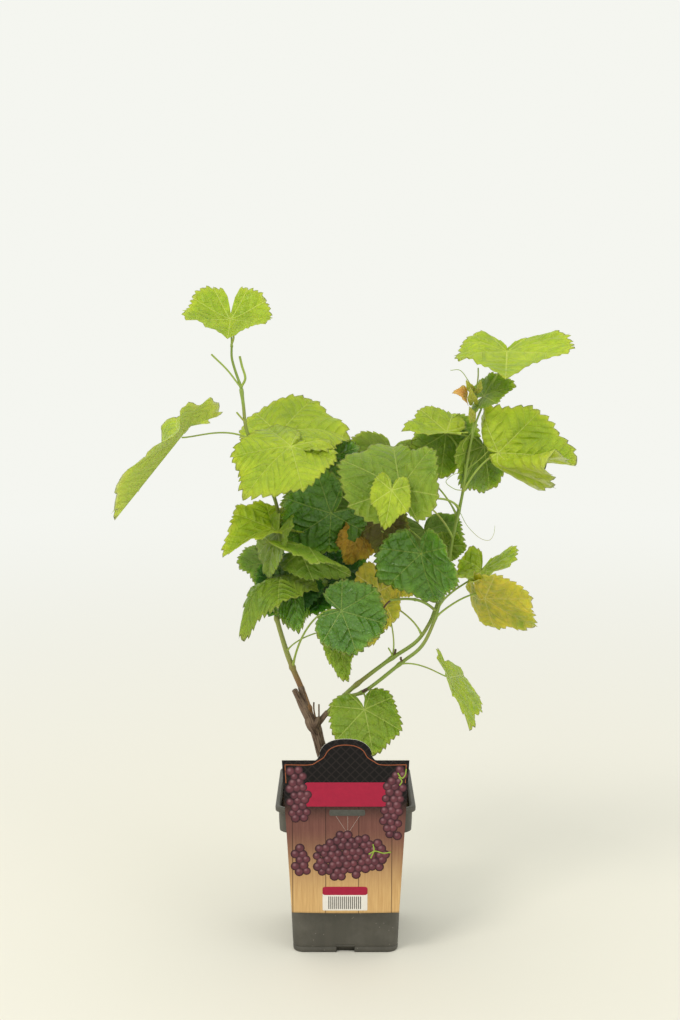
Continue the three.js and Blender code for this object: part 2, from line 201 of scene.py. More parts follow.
def addNode(tree, kind, *values, out=0, **named):
    # Adds one node and gives back its output out. values fill its inputs in order (None leaves one as
    # it is), a capital name fills the input of that name, and a small one is the node's own setting
    node = tree.nodes.new("ShaderNode" + kind)
    for name, value in named.items():
        if name[0].islower():
            setattr(node, name, value)
    inputs = list(enumerate(values))
    inputs += [(key.replace("_", " "), value) for key, value in named.items() if not key[0].islower()]
    for key, value in inputs:
        if isinstance(value, bpy.types.NodeSocket):
            tree.links.new(value, node.inputs[key])
        elif value is not None:
            node.inputs[key].default_value = value
    return node.outputs[out]


def newMaterial(name, build):
    # A node material; build adds its nodes and gives back the shader
    material = bpy.data.materials.new(name)
    material.use_nodes = True
    tree = material.node_tree
    tree.nodes.clear()
    shader = build(tree)
    surface = tree.nodes.new("ShaderNodeOutputMaterial")
    tree.links.new(shader, surface.inputs["Surface"])
    return material


view = {"place": (-5.3, -1365.5, 592.0), "pitch": 6.9, "lens": 50, "sensor": 36}
camera = bpy.data.objects.new("camera", bpy.data.cameras.new("camera"))
camera.data.lens = view["lens"]
camera.data.sensor_width = view["sensor"]
camera.location = Vector(view["place"]) * mm
camera.rotation_euler = (math.radians(90 - view["pitch"]), 0, 0)
bpy.context.scene.collection.objects.link(camera)
bpy.context.scene.camera = camera

studio = {
    "paper": "#eae7dc",  # the floor
    "air": "#f7f8f2",  # the far background
    "floorSide": 14.0,
    "fadeFrom": 0.2,  # metres from the pot where the floor begins to melt into the background
    "fadeTo": 3.6,
    "airStrength": 0.98,
    # each lamp: where it is, what it looks at, its side, watts and colour
    "lamps": (
        ((-1.4, -1.6, 2.5), (0, 0, 0.35), 0.9, 27, "#fffaf2"),
        ((1.7, -1.7, 1.7), (0, 0, 0.35), 1.2, 6, "#ffffff"),
    ),
}


def buildFloor(tree):
    # Matt paper sweep: plain and pale, melting into the background far out
    place = addNode(tree, "TexCoord", out="Object")
    away = addNode(tree, "VectorMath", place, operation="LENGTH", out="Value")
    away = addNode(tree, "Math", away, 0.5, operation="POWER")
    near, far = studio["fadeFrom"] ** 0.5, studio["fadeTo"] ** 0.5
    fade = addNode(tree, "MapRange", away, near, far, 0.0, 1.0, interpolation_type="SMOOTHSTEP")
    paper = addNode(tree, "BsdfDiffuse", hexColour(studio["paper"]))
    air = addNode(tree, "Emission", hexColour(studio["air"]), studio["airStrength"])
    return addNode(tree, "MixShader", fade, paper, air)


side = studio["floorSide"] / 2
floorMesh = bpy.data.meshes.new("floor")
floorCorners = [(-side, -side, 0), (side, -side, 0), (side, side, 0), (-side, side, 0)]
floorMesh.from_pydata(floorCorners, [], [(0, 1, 2, 3)])
floorMesh.materials.append(newMaterial("matt paper sweep", buildFloor))
floor = bpy.data.objects.new("floor", floorMesh)
bpy.context.scene.collection.objects.link(floor)

world = bpy.data.worlds.new("soft studio")
world.use_nodes = True
background = world.node_tree.nodes["Background"]
background.inputs["Color"].default_value = hexColour(studio["air"])
background.inputs["Strength"].default_value = studio["airStrength"]
bpy.context.scene.world = world
bpy.context.scene.view_settings.view_transform = "Standard"

for number, (place, target, size, power, tint) in enumerate(studio["lamps"]):
    lamp = bpy.data.lights.new(f"softbox_{number}", "AREA")
    lamp.size = size
    lamp.energy = power
    lamp.color = hexColour(tint)[:3]
    holder = bpy.data.objects.new(lamp.name, lamp)
    holder.location = place
    holder.rotation_mode = "QUATERNION"
    holder.rotation_quaternion = (Vector(target) - Vector(place)).to_track_quat("-Z", "Y")
    bpy.context.scene.collection.objects.link(holder)
print("stage: camera, floor and", len(studio["lamps"]), "softboxes")


limbs = {  # each route in mm from its foot, then its radius at the foot and at the end
    "trunk": ([(-12, 6, 138.3), (-18, 5, 160), (-24, 4, 180), (-33, 0, 216)], 5.8, 5.4),
    "old_stub": ([(-33.5, 0, 219), (-44, -3, 237), (-50, -4, 249)], 3.4, 2.8),
    "left_arm": (
        [(-33, 0, 219), (-43, 2, 248), (-51, 3, 267), (-57, 3, 283), (-63, 2, 303), (-68, 0, 322)], 3.3, 2.3
    ),
    "left_spur": ([(-68, 0, 323), (-69.5, -2, 329), (-71, -3, 335)], 2.2, 1.8),
    "left_shoot": (
        [(-66, 1, 323), (-64, 7, 337), (-61, 9, 361), (-63, 8, 397), (-66, 4, 427), (-75, -1, 456),
         (-86, -5, 484), (-95, -6, 505), (-98, -4, 529), (-100, -2, 544)], 2, 1.7
    ),
    "left_shoot_tip": ([(-100, -2, 545), (-106, -2, 562), (-109, -2, 574), (-109, -2, 586)], 1.5, 1.1),
    "right_arm": (
        [(-28, -1, 214), (-15, -2, 229), (3, -4, 248), (41, -3, 278), (70, 2, 297), (83, 7, 315),
         (90, 10, 332), (94, 12, 356)], 2.5, 1.7
    ),
    "right_shoot_lower": (
        [(2, -7, 244), (6, -10, 245), (17, -12, 249), (55, -10, 278), (74, -7, 293), (85, -3, 313),
         (92, 0, 334)], 1.9, 1.8
    ),
    "right_shoot_upper": (
        [(93, 0, 336), (99, 2, 363), (105, 2, 402), (113, 0, 440), (118, -2, 477), (123, -2, 506),
         (125, -2, 528), (127, -2, 548)], 1.9, 1.2
    ),
    "side_shoot": ([(88, -1, 328), (81, -4, 334), (72, -8, 339), (60, -10, 341), (43, -12, 340)], 1.5, 1.2),
}
limbSteps = 160
limbPaths = {}
for name, (route, fromRadius, toRadius) in limbs.items():
    path = smoothPath(route, limbSteps)
    plain = tube(path, np.linspace(fromRadius, toRadius, limbSteps), 12, blunt=0)
    limbPaths[name] = path + nodeShift(name, plain["points"])


def limbPoint(name, share):
    # The point that share of the way along a limb, and the way that the limb runs there
    path = limbPaths[name]
    at = min(int(share * (len(path) - 1)), len(path) - 2)
    way = path[at + 1] - path[at]
    return path[at], way / np.linalg.norm(way)


leafForm = {
    "veins": (0, 54, 108, 150),  # degrees of the main veins from the midrib
    "teeth": ((0, 54, 6), (54, 108, 6), (108, 150, 4), (150, 171, 2)),  # from, to, how many
    "toothSteps": (0, 0.36, 0.72, 0.87),  # tooth point, shoulder, notch, rise
    "toothHeights": (1, 0.42, -0.62, 0.15),
    "toothHeight": 0.034,  # share of the leaf's length
    "rings": 25,
    "halfThickness": 0.22,
    "sideVeinAngle": 52,
    "sideVeinSpacing": 9.5,
    "grooveDepth": 0.55,
    "grooveWidth": 1.6,
    "pleat": 0.045,  # how high the blade bulges between main veins, as a share of the reach
}


def leaf(tint, stalk, tip, turn, lift, wide=1, fold=0, arch=0.05, lean=0, wave=0.03, crinkle=0.6,
         creases=(), wear=0.0, gap=1.0):
    # One leaf's pose in mm and degrees, as the frame holds it, and how its blade bends. Each crease
    # is a line's point across and along the blade, the way that it faces, its angle and its radius
    return dict(tint=tint, stalk=stalk, tip=tip, turn=turn, lift=lift, wide=wide, fold=fold, arch=arch,
                lean=lean, wave=wave, crinkle=crinkle, creases=creases, wear=wear, gap=gap)


leaves = {
    "top_left": leaf("bright", (-110, 0, 610), (-109, -51, 590), 7, 71, 1, 19, -0.03, 0.06, gap=0.45,
                     creases=((0, -0.05, 180, -28, 0.15),)),
    "far_left": leaf("bright", (-157, -10, 498), (-212, -48, 421), -80, 22, 0.86, 15, 0.01, wave=0.06,
                     gap=1.28, creases=((0, -0.1, 180, 38, 0.1),)),
    "left_front": leaf("bright", (-51, -45, 492), (-93, -95, 448), -12, 30, 0.72, -12, 0.07, -0.02),
    "left_crown": leaf("bright", (-64, 8, 501), (7, 24, 495), 0, 62, 0.98, 8, 0.12, 0.05, wave=0.04),
    "left_inner": leaf("deep", (-19, 22, 472), (13, 17, 487), 0, 45, 1.1, 3),
    "centre_left": leaf("deep", (-14, -15, 426), (-59, -6, 398), 19, -13, 1.06, -2, 0.06, 0.06, 0.03, 0.8),
    "centre_top": leaf("mid", (50, -50, 453), (45, 3, 490), -5, 31, 0.96, 13, 0.12, -0.2),
    "centre_bright": leaf("bright", (42, -70, 453), (35, -89, 419), 4, 10, 0.62, 12, 0.08),
    "centre_bronze": leaf("bronze", (37, 18, 415), (35, 10, 380), -2, 17, fold=20, arch=0.07),
    "centre_rusty": leaf("rust", (14, 8, 404), (-1, 9, 373), 40, -10, 1, 5, 0.06, 0, 0.05, 0.8, wear=0.15),
    "centre_right": leaf("deep", (71, -45, 390), (87, -32, 342), -39, 18, 1.15, 20, 0.06, crinkle=0.35),
    "right_small": leaf("mid", (99, 12, 391), (120, 10, 390), 3, -20, fold=10, arch=0.06),
    "centre_olive": leaf("yellow", (53, 15, 353), (26, 17, 347), 0, 45, fold=4),
    "right_saddle": leaf("bright", (134, 10, 368), (119, -37, 366), 0, 79, 0.93, 28, -0.1, -0.12, 0.04,
                         creases=((0.1, 0, 90, 30, 0.2),)),
    "right_yellow": leaf("yellow", (135, -10, 341), (185, -5, 312), -60, -7, 1, 4, 0.02, -0.15,
                         creases=((0.1, 0, 150, 50, 0.1),)),
    "right_hanging": leaf("bright", (102, -10, 263), (119, -40, 219), 72, 15, 1, 9, 0.02, -0.2),
    "low_heart": leaf("mid", (19, -36, 237), (27, -58, 196), 7, 22, 0.98, -15, 0.06),
    "left_wing": leaf("bright", (-70, -9, 409), (-114, -36, 387), -14, 50, 0.8, 34, 0.1, wave=0.05),
    "left_pendant": leaf("mid", (-65, -25, 406), (-73, -31, 363), -63, 0, fold=4),
    "left_curled": leaf("pale", (-43, -32, 391), (1, -39, 371), 0, 14, 0.95, 3, 0.08, -0.35, 0.04, gap=1.2,
                        creases=((-0.05, 0, -90, -112, 0.09), (0, -0.1, 180, 40, 0.1))),
    "left_drooping": leaf("mid", (-61, -30, 366), (-102, -74, 324), -37, 46, 0.6, -34, 0.14, 0, 0.04, 0.8,
                          creases=((0, 0.45, 0, 35, 0.3),)),
    # painted shade: this leaf's darkest tint stands for the shaded hollow behind left_drooping
    "left_recess": leaf("shade", (-52, -14, 360), (-79, -22, 330), -20, 16, 1.1, 6, 0.06),
    "left_strip": leaf("deep", (-54, -28, 367), (-45, -62, 318), 14, 34, 0.8, -52, 0.06, 0, 0.04, 0.9),
    # painted shade: this leaf's darkest tint stands for the shade deep inside the foliage
    "dark_inner": leaf("shade", (-27, 10, 356), (26, 22, 366), 0, 62, 1.15, 4, 0.06),
    "low_crinkled": leaf("deep", (-4, -50, 337), (39, -36, 322), 0, 6, 1, 18, 0.05, 0.07, 0.05, 0.9,
                         wear=0.12),
    "low_flap": leaf("mid", (-6, -36, 309), (2, -42, 267), -26, 1, 0.5, 22, 0.07, wave=0.06),
    "low_yellow": leaf("yellow", (33, 0, 346), (22, -4, 292), 16, 0, 0.62, 12, 0.06, 0.2),
    "top_right": leaf("bright", (154, 0, 578), (147, -52, 553), 0, 80, 1.3, 18, 0, -0.08, gap=1.2,
                      creases=((0.4, 0, 90, 25, 0.3),)),
    "right_shoot_leaf": leaf("mid", (134, 4, 537), (163, -6, 545), 0, 50, 1, 13, 0.07),
    "right_wing": leaf("bright", (97, 6, 503), (54, 4, 502), 0, 72, fold=20, arch=0.03, lean=0.1),
    "right_inner": leaf("mid", (98, 22, 499), (93, 22, 454), -3, 11, fold=-20, arch=0.07),
    "far_right": leaf("bright", (148, -15, 483), (226, 8, 474), 2, 20, 0.92, 6, 0.05, 0.16, 0.03, 0.5,
                      gap=1.3, creases=((0.05, -0.02, 150, 150, 0.05), (0, -0.1, 180, 110, 0.05),
                                        (0.02, 0, 90, -80, 0.1))),
    "right_back": leaf("mid", (136, 18, 487), (145, 40, 443), 5, 24, 1, 30, 0.01, 0.2),
    "back_top": leaf("mid", (45, 44, 478), (36, 66, 430), 172, 25, 1.05, 8, 0.08),
    "back_upper_left": leaf("mid", (-48, 40, 486), (-64, 62, 446), 190, 28, 1, 10, 0.08),
    "back_left": leaf("deep", (-26, 36, 432), (-36, 58, 388), 186, 22, 1, 8, 0.07, crinkle=1.1),
    "back_right": leaf("deep", (80, 40, 400), (88, 62, 354), 168, 24, 1, 8, 0.07, crinkle=0.9),
    "back_low": leaf("mid", (6, 34, 346), (8, 56, 306), 180, 24, 1, 10, 0.07),
    "back_low_left": leaf("deep", (-70, 32, 372), (-84, 54, 336), 194, 26, 1, 10, 0.08),
}


def leafMargin(turn, gap=1.0):
    # How far the plain margin lies from the stalk, turn degrees from the tip, as a share of the length:
    # a round body with a tip lobe and two pairs of side lobes, each exp(-((turn-at)/width)^2), and a
    # notch at the stalk, narrower for a smaller gap
    away = np.abs(turn)
    bump = lambda at, width: np.exp(-(((away - at) / width) ** 2))
    lobes = 0.64 + 0.36 * bump(0, 27) + 0.2 * bump(58, 26) + 0.1 * bump(112, 28)
    return lobes * (1 - 0.7 * bump(180, 20 * gap) - 0.22 * gap * bump(180, 45))


def leafSpokes():
    # The margin's angles, a few to each tooth, and how far each stands in or out, for both halves
    turns, heights, teeth = [], [], []
    for start, end, count in leafForm["teeth"]:
        for tooth in range(count):
            for step, height in zip(leafForm["toothSteps"], leafForm["toothHeights"]):
                turns.append(start + (end - start) * (tooth + step) / count)
                heights.append(height * (0.8 if start >= 108 else 1))
                teeth.append(len(teeth) // 4)
    turns += [171, 174, 177]
    heights += [0.4, 0, 0]
    teeth += [0, 0, 0]
    right = np.array(turns)
    both = np.concatenate([right, [180], -right[:0:-1]])
    tall = np.concatenate([heights, [0], heights[:0:-1]])
    which = np.concatenate([teeth, [0], np.array(teeth[:0:-1]) + 100])
    return both, tall, which


spokeTurns, spokeHeights, spokeTeeth = leafSpokes()


def creased(x, y, h, cx, cy, way, angle, radius):
    # Bends the blade round a cylinder past the line through (cx, cy) square to way: s is the distance
    # past it, p = clip(s/radius, 0, angle), s -> radius*sin p + rest*cos p and the height falls by
    # radius*(1-cos p) + rest*sin p. A negative angle bends it upwards
    nx, ny = math.sin(math.radians(way)), math.cos(math.radians(way))
    turn = abs(math.radians(angle))
    sign = math.copysign(1, angle)
    s = (x - cx) * nx + (y - cy) * ny
    p = np.clip(s / radius, 0, turn)
    rest = np.maximum(s - radius * turn, 0)
    moved = np.where(s > 0, radius * np.sin(p) + rest * np.cos(p) - s, 0) + sign * h * np.sin(p)
    drop = radius * (1 - np.cos(p)) + rest * np.sin(p)
    return x + moved * nx, y + moved * ny, h * np.cos(p) - sign * drop


def leafAxes(row):
    # Stalk, length, and the leaf's own three directions: along the midrib, across it, out of its face
    stalk = np.array(row["stalk"], float)
    along = np.array(row["tip"], float) - stalk
    length = np.linalg.norm(along)
    along /= length
    t, l = math.radians(row["turn"]), math.radians(row["lift"])
    face = np.array([math.sin(t) * math.cos(l), -math.cos(t) * math.cos(l), math.sin(l)])
    face -= (face @ along) * along
    face /= np.linalg.norm(face)
    return stalk, length, along, np.cross(along, face), face


def leafPart(name, row, cell, cells, rings=leafForm["rings"]):
    # The blade over (turn, share): x = reach sin turn, y = reach cos turn, where reach = margin*share
    # with teeth; its height is vein grooves, the swell between side veins and slow waves. Then creases,
    # the fold about the midrib and the arch set it in space. Both skins meet at the margin
    stalk, length, along, across, face = leafAxes(row)
    draw = np.random.default_rng(sum(map(ord, name)))
    toothSize = draw.uniform(0.6, 1.3, 200)[spokeTeeth]
    share = np.linspace(0, 1, rings + 1)[:, None]
    turn = np.radians(spokeTurns)[None, :]
    teeth = leafForm["toothHeight"] * spokeHeights * toothSize
    lobes = 1 + 0.035 * np.sin(3 * turn + draw.uniform(0, 6))
    lobes = lobes + 0.025 * np.sin(5 * turn + draw.uniform(0, 6))
    reach = leafMargin(spokeTurns, row["gap"])[None, :] * lobes * share + teeth * share**8
    x, y = reach * np.sin(turn), reach * np.cos(turn)
    # where each point lies from its nearest main vein, in mm
    offset = np.abs(np.abs(spokeTurns)[:, None] - np.array(leafForm["veins"])).min(1)
    down = reach * length * np.cos(np.radians(offset))
    off = reach * length * np.sin(np.radians(offset))
    spacing = leafForm["sideVeinSpacing"] * (0.75 + 0.25 * length / 60)
    shift = draw.uniform(0, 1) * spacing
    phase = (down + shift - off / math.tan(math.radians(leafForm["sideVeinAngle"]))) / spacing
    groove = np.exp(-((off / leafForm["grooveWidth"]) ** 2))
    relief = -leafForm["grooveDepth"] * groove * (1 - 0.5 * share)
    clear = smoothStep(0, 5, off) * smoothStep(5, 16, down)
    swell = row["crinkle"] * (0.5 - 0.5 * np.cos(2 * math.pi * phase)) * clear
    a, b, c, d = draw.uniform(0, 2 * math.pi, 4)
    waves = share**2 * (np.sin(2 * turn + a) + 0.8 * np.sin(3 * turn + b) + 0.6 * np.sin(5 * turn + c))
    waves = waves + 0.5 * share**5 * np.sin(11 * turn + d)
    pleats = leafForm["pleat"] * np.sin(math.pi * np.clip(offset, 0, 27) / 27) * reach
    h = (relief + swell) / length + row["wave"] * waves + pleats
    u, v = x.copy(), y.copy()
    widen = row["wide"] * (1 + row["lean"] * np.sign(turn))
    x = x * widen
    for crease in row["creases"]:
        x, y, h = creased(x, y, h, *crease)
    bend = math.radians(row["fold"])

    def placed(x, y, h):
        ridge = np.hypot(x, 0.08) - 0.08
        raised = ridge * math.sin(bend) + row["arch"] * 4 * y * (1 - y) - 0.05 * x**2 + h
        aside = across * (x * math.cos(bend))[..., None]
        return stalk + length * (along * y[..., None] + aside + face * raised[..., None])

    plain = leafMargin(spokeTurns)
    rim = placed(plain * np.sin(turn[0]) * widen[0], plain * np.cos(turn[0]), 0)
    middle = placed(x, y, h) + nodeShift(f"foliage_{name}", rim)
    half = face * (leafForm["halfThickness"] * (1 - share**4) * np.ones_like(x))[..., None]
    n = len(spokeTurns)
    upper, lower = middle + half, middle - half
    points = np.concatenate([
        upper[1:].reshape(-1, 3), lower[1:-1].reshape(-1, 3), upper[0, :1], lower[0, :1],
    ])
    poles = n * (2 * rings - 1)
    faces = [gridFaces(rings, n)[:, ::-1], fanFaces(np.arange(n), poles)]
    under = gridFaces(rings, n)
    inner = under < n * (rings - 1)
    under = np.where(inner, under + n * rings, under)
    faces += [under, fanFaces(np.arange(n) + n * rings, poles + 1, turnedOver=True)]
    counts = [len(part) for part in faces]
    faces = np.concatenate(faces)
    which = np.repeat([0, 0, 1, 1], counts)
    skin = np.stack([down + shift, off], -1) / 100
    skin = np.concatenate([skin[1:].reshape(-1, 2), skin[1:-1].reshape(-1, 2), [[shift / 100, 0]] * 2])
    # a square of the bake's map for each side of the leaf
    flat = np.stack([u, v * 0.95 + 0.22], -1) * 0.46 / 0.86 + 0.5 - np.array([0, 0.22])
    rows = [flat[1:].reshape(-1, 2), flat[1:-1].reshape(-1, 2), flat[0, :1], flat[0, :1]]
    flat = np.concatenate(rows)
    tile = flat[faces.ravel()].clip(0.01, 0.99)
    number = np.repeat(2 * cell + which, 3)
    tile = (tile + np.stack([number % cells, number // cells], 1)) / cells
    worn = row["wear"] + 0.25 * smoothStep(0.8, 1, share) * np.ones_like(x)
    worn = np.concatenate([worn[1:].ravel(), worn[1:-1].ravel(), [row["wear"]] * 2])
    return {"points": points, "faces": faces, "which": which, "uv": skin, "tile": tile, "wear": worn}


tints = {  # upper side light and dark, veins, underside, how rough and how bumpy
    "bright": ("#adc02c", "#869e1c", "#c8d46c", "#b2c052", 0.44, 0.8),
    "pale": ("#86a032", "#648322", "#b4c46a", "#b3c070", 0.55, 0.8),
    "mid": ("#849b2b", "#62801d", "#b2c062", "#9bac4a", 0.42, 0.9),
    "deep": ("#5f8a27", "#416d1e", "#8fa84c", "#6f8a38", 0.32, 1.2),
    # this darkest tint is painted shade: its greens stand for the shade deep inside the foliage and go to
    # the leaves in its hollows
    "shade": ("#31601c", "#214a14", "#55783a", "#4f6b2e", 0.42, 0.9),
    "yellow": ("#e0c840", "#929e33", "#e0d68a", "#bcb257", 0.5, 0.8),
    "bronze": ("#69682a", "#4f401c", "#84763a", "#5b582a", 0.5, 0.9),
    "rust": ("#cfa232", "#8a6a20", "#cbab50", "#9a8038", 0.6, 1.2),
}


def leafMaterial(name, light, dark, vein, roughness, bump, under):
    # Living leaf blade: a waxy skin over soft tissue. The eye gets blotched greens, pale veins in
    # their grooves (ridges on the underside), a fine net between them and a broken satin shine
    def build(tree):
        skin = addNode(tree, "UVMap", uv_map="skin")
        place = addNode(tree, "TexCoord", out="Object")
        down = addNode(tree, "SeparateXYZ", skin, out="X")
        off = addNode(tree, "SeparateXYZ", skin, out="Y")
        cloud = addNode(tree, "TexNoise", Vector=place, Scale=1 / 0.03, Detail=2.0)
        mottle = addNode(tree, "TexNoise", Vector=place, Scale=1 / 0.006, Detail=3.0)
        blotch = addNode(tree, "MixRGB", 0.35, cloud, mottle)
        blotch = addNode(tree, "MapRange", blotch, 0.34, 0.66, 0.0, 1.0)
        # main veins: 1 mm wide near the stalk, 0.4 mm at the margin
        width = addNode(tree, "MapRange", down, 0.0, 0.9, 0.009, 0.004)
        near = addNode(tree, "Math", off, width, operation="DIVIDE")
        mainVein = addNode(tree, "MapRange", near, 0.35, 1.0, 1.0, 0.0, interpolation_type="SMOOTHSTEP")
        # side veins: lines of equal down - off/tan(angle), fainter by the stalk and midway to the next
        slope = 1 / math.tan(math.radians(leafForm["sideVeinAngle"]))
        slant = addNode(tree, "Math", off, -slope, down, operation="MULTIPLY_ADD")
        jitter = addNode(tree, "TexNoise", Vector=place, Scale=1 / 0.014, Detail=2.0)
        wander = addNode(tree, "Math", jitter, 0.07, slant, operation="MULTIPLY_ADD")
        phase = addNode(tree, "Math", wander, 100 / leafForm["sideVeinSpacing"], operation="MULTIPLY")
        gap = addNode(tree, "Math", phase, 0.5, operation="PINGPONG")
        ratio = addNode(tree, "Math", off, down, operation="DIVIDE")
        beside = addNode(tree, "MapRange", ratio, 0.3, 0.5, 1.0, 0.3)
        clear = addNode(tree, "MapRange", down, 0.07, 0.2, 0.0, 1.0)
        strength = addNode(tree, "Math", beside, clear, operation="MULTIPLY")
        sideVein = addNode(tree, "MapRange", gap, 0.01, 0.07, 1.0, 0.0,
                           interpolation_type="SMOOTHSTEP")
        sideVein = addNode(tree, "Math", sideVein, strength, operation="MULTIPLY")
        swell = addNode(tree, "MapRange", gap, 0.0, 0.34, 0.0, 1.0, interpolation_type="SMOOTHSTEP")
        swell = addNode(tree, "Math", swell, strength, operation="MULTIPLY")
        # cross veins, square to the side veins and broken up, 6 mm apart: they only wrinkle the skin
        steep = math.tan(math.radians(leafForm["sideVeinAngle"]))
        rung = addNode(tree, "Math", off, steep, down, operation="MULTIPLY_ADD")
        ragged = addNode(tree, "TexNoise", Vector=place, Scale=1 / 0.005)
        rung = addNode(tree, "Math", ragged, 0.06, rung, operation="MULTIPLY_ADD")
        rung = addNode(tree, "Math", rung, 100 / 6, operation="MULTIPLY")
        rung = addNode(tree, "Math", rung, 0.5, operation="PINGPONG")
        wrinkle = addNode(tree, "MapRange", rung, 0.0, 0.2, 0.0, 1.0, interpolation_type="SMOOTHSTEP")
        # the net between them: cells about 2.4 mm across
        crooked = addNode(tree, "TexNoise", Vector=place, Scale=1 / 0.003, out="Color")
        bent = addNode(tree, "MixRGB", 0.02, skin, crooked)
        net = addNode(tree, "TexVoronoi", Vector=bent, feature="DISTANCE_TO_EDGE", Scale=100 / 2.4,
                      Randomness=0.9, out="Distance")
        netLine = addNode(tree, "MapRange", net, 0.0, 0.16, 1.0, 0.0)
        faint = addNode(tree, "Math", sideVein, 0.42, operation="MULTIPLY")
        lines = addNode(tree, "Math", netLine, 0.12, faint, operation="MULTIPLY_ADD")
        veins = addNode(tree, "Math", lines, mainVein, operation="MAXIMUM", use_clamp=True)
        blade = addNode(tree, "MixRGB", blotch, hexColour(dark), hexColour(light))
        veinShare = addNode(tree, "Math", veins, 0.62, operation="MULTIPLY")
        colour = addNode(tree, "MixRGB", veinShare, blade, hexColour(vein))
        # browned margins and old leaves
        wear = addNode(tree, "Attribute", attribute_name="wear", out="Fac")
        fleck = addNode(tree, "TexNoise", Vector=place, Scale=1 / 0.006, Detail=4.0)
        brown = addNode(tree, "Math", wear, fleck, operation="MULTIPLY")
        brown = addNode(tree, "MapRange", brown, 0.16, 0.34, 0.0, 0.8)
        colour = addNode(tree, "MixRGB", brown, colour, hexColour("#9a7a30"))
        # height: grooves above, ridges below
        ribs = addNode(tree, "Math", mainVein, sideVein, operation="MAXIMUM")
        lift = addNode(tree, "Math", ribs, 1.1 if under else -0.6, swell, operation="MULTIPLY_ADD")
        lift = addNode(tree, "Math", wrinkle, 0.3, lift, operation="MULTIPLY_ADD")
        fine = addNode(tree, "Math", net, 0.25, lift, operation="MULTIPLY_ADD")
        normal = addNode(tree, "Bump", Strength=min(bump * 0.8, 1), Distance=0.0013, Height=fine)
        patchy = addNode(tree, "MapRange", blotch, 0.3, 0.7, roughness - 0.07, roughness + 0.1)
        return addNode(
            tree, "BsdfPrincipled", out="BSDF", Base_Color=colour, Roughness=patchy, Normal=normal,
            Specular_IOR_Level=0.5 if roughness < 0.35 else 0.3, Subsurface_Weight=0.35,
            Subsurface_Radius=(0.7, 1.0, 0.25), Subsurface_Scale=0.0012,
        )

    return newMaterial(name, build)


for tint, (light, dark, vein, below, roughness, bump) in tints.items():
    names = [name for name, row in leaves.items() if row["tint"] == tint]
    cells = math.ceil(math.sqrt(2 * len(names)))
    parts = [leafPart(name, leaves[name], cell, cells) for cell, name in enumerate(names)]
    skins = [
        leafMaterial(f"vine leaf upper side, {tint}", light, dark, vein, roughness, bump, False),
        leafMaterial(f"vine leaf downy underside, {tint}", below, below, vein, 0.62, 0.8, True),
    ]
    nodes = [f"foliage_{name}" for name in names if f"foliage_{name}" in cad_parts]
    makeMesh(f"leaves_{tint}", parts, skins, nodes)


def youngPiece(name, rows, light, dark, flush):
    # The small unopened leaves at the right shoot's tip
    parts = [leafPart(part, row, cell, 3, rings=10) for cell, (part, row) in enumerate(rows.items())]
    skins = [
        leafMaterial(f"young vine leaf, {name}", light, dark, flush, 0.45, 0.5, False),
        leafMaterial(f"young vine leaf, {name}, downy underside", light, dark, flush, 0.6, 0.5, True),
    ]
    makeMesh(f"young_leaves_{name}", parts, skins)


youngFlushed = {"tip_orange": leaf("young", (115, -8, 537), (103, -13, 541), -20, 35, 0.85, 12, 0.2)}
youngPiece("flushed", youngFlushed, "#d9a45a", "#c98246", "#e3c07a")
youngGreen = {
    "tip_left": leaf("young", (122, -5, 544), (115, -9, 553), -30, 10, 0.55, 40, 0.1),
    "tip_right": leaf("young", (126, -6, 543), (129, -9, 553), 20, 5, 0.5, 40, 0.1),
    "tip_front": leaf("young", (122, -8, 533), (119, -14, 545), -10, 0, 0.55, 35, 0.1),
    "tip_low": leaf("young", (121, -8, 516), (118, -12, 528), 10, 0, 0.45, 35, 0.1),
}
youngPiece("green", youngGreen, "#b9bd4c", "#a3a23c", "#d3cf7e")
print("leaves:", len(leaves), "blades in", len(tints), "tints and", 1 + len(youngGreen), "young ones")


bark = {"sides": 40, "steps": 150, "ridge": 0.085, "shootSides": 14}


def barkRelief(seed, depth, coarse):
    # Strips of bark: a sum of depth*cos(k a + slow wander along the limb), sharpened into ridges
    draw = np.random.default_rng(seed)
    waves = [(k, draw.uniform(0, 6.3), draw.uniform(-0.05, 0.05), draw.uniform(0.5, 1)) for k in coarse]

    def relief(angle, far):
        total = 0
        for k, start, drift, size in waves:
            total = total + size * np.cos(k * angle + start + drift * far + 0.7 * np.sin(far / 13 + start))
        return depth * (np.abs(total) - 0.6) + depth * 0.4 * np.sin(far / 4.1 + 3 * np.cos(angle))

    return relief


def buildOldBark(tree):
    # Vine bark, weathered and peeling in long strips: grey-brown ridges over darker fissures
    skin = addNode(tree, "UVMap", uv_map="skin")
    long = addNode(tree, "Mapping", skin, None, None, (100 / 1.3, 100 / 22, 1))
    strips = addNode(tree, "TexNoise", Vector=long, Scale=1.0, Detail=5.0, Roughness=0.6)
    patches = addNode(tree, "TexNoise", Vector=skin, Scale=100 / 14, Detail=2.0)
    ridge = addNode(tree, "MapRange", strips, 0.35, 0.66, 0.0, 1.0, interpolation_type="SMOOTHSTEP")
    wood = addNode(tree, "MixRGB", ridge, hexColour("#3e2d22"), hexColour("#8b7360"))
    tone = addNode(tree, "MapRange", patches, 0.4, 0.7, 0.0, 0.6)
    colour = addNode(tree, "MixRGB", tone, wood, hexColour("#a08b75"))
    normal = addNode(tree, "Bump", Strength=0.9, Distance=0.0012, Height=strips)
    return addNode(tree, "BsdfPrincipled", out="BSDF", Base_Color=colour, Roughness=0.88, Normal=normal)


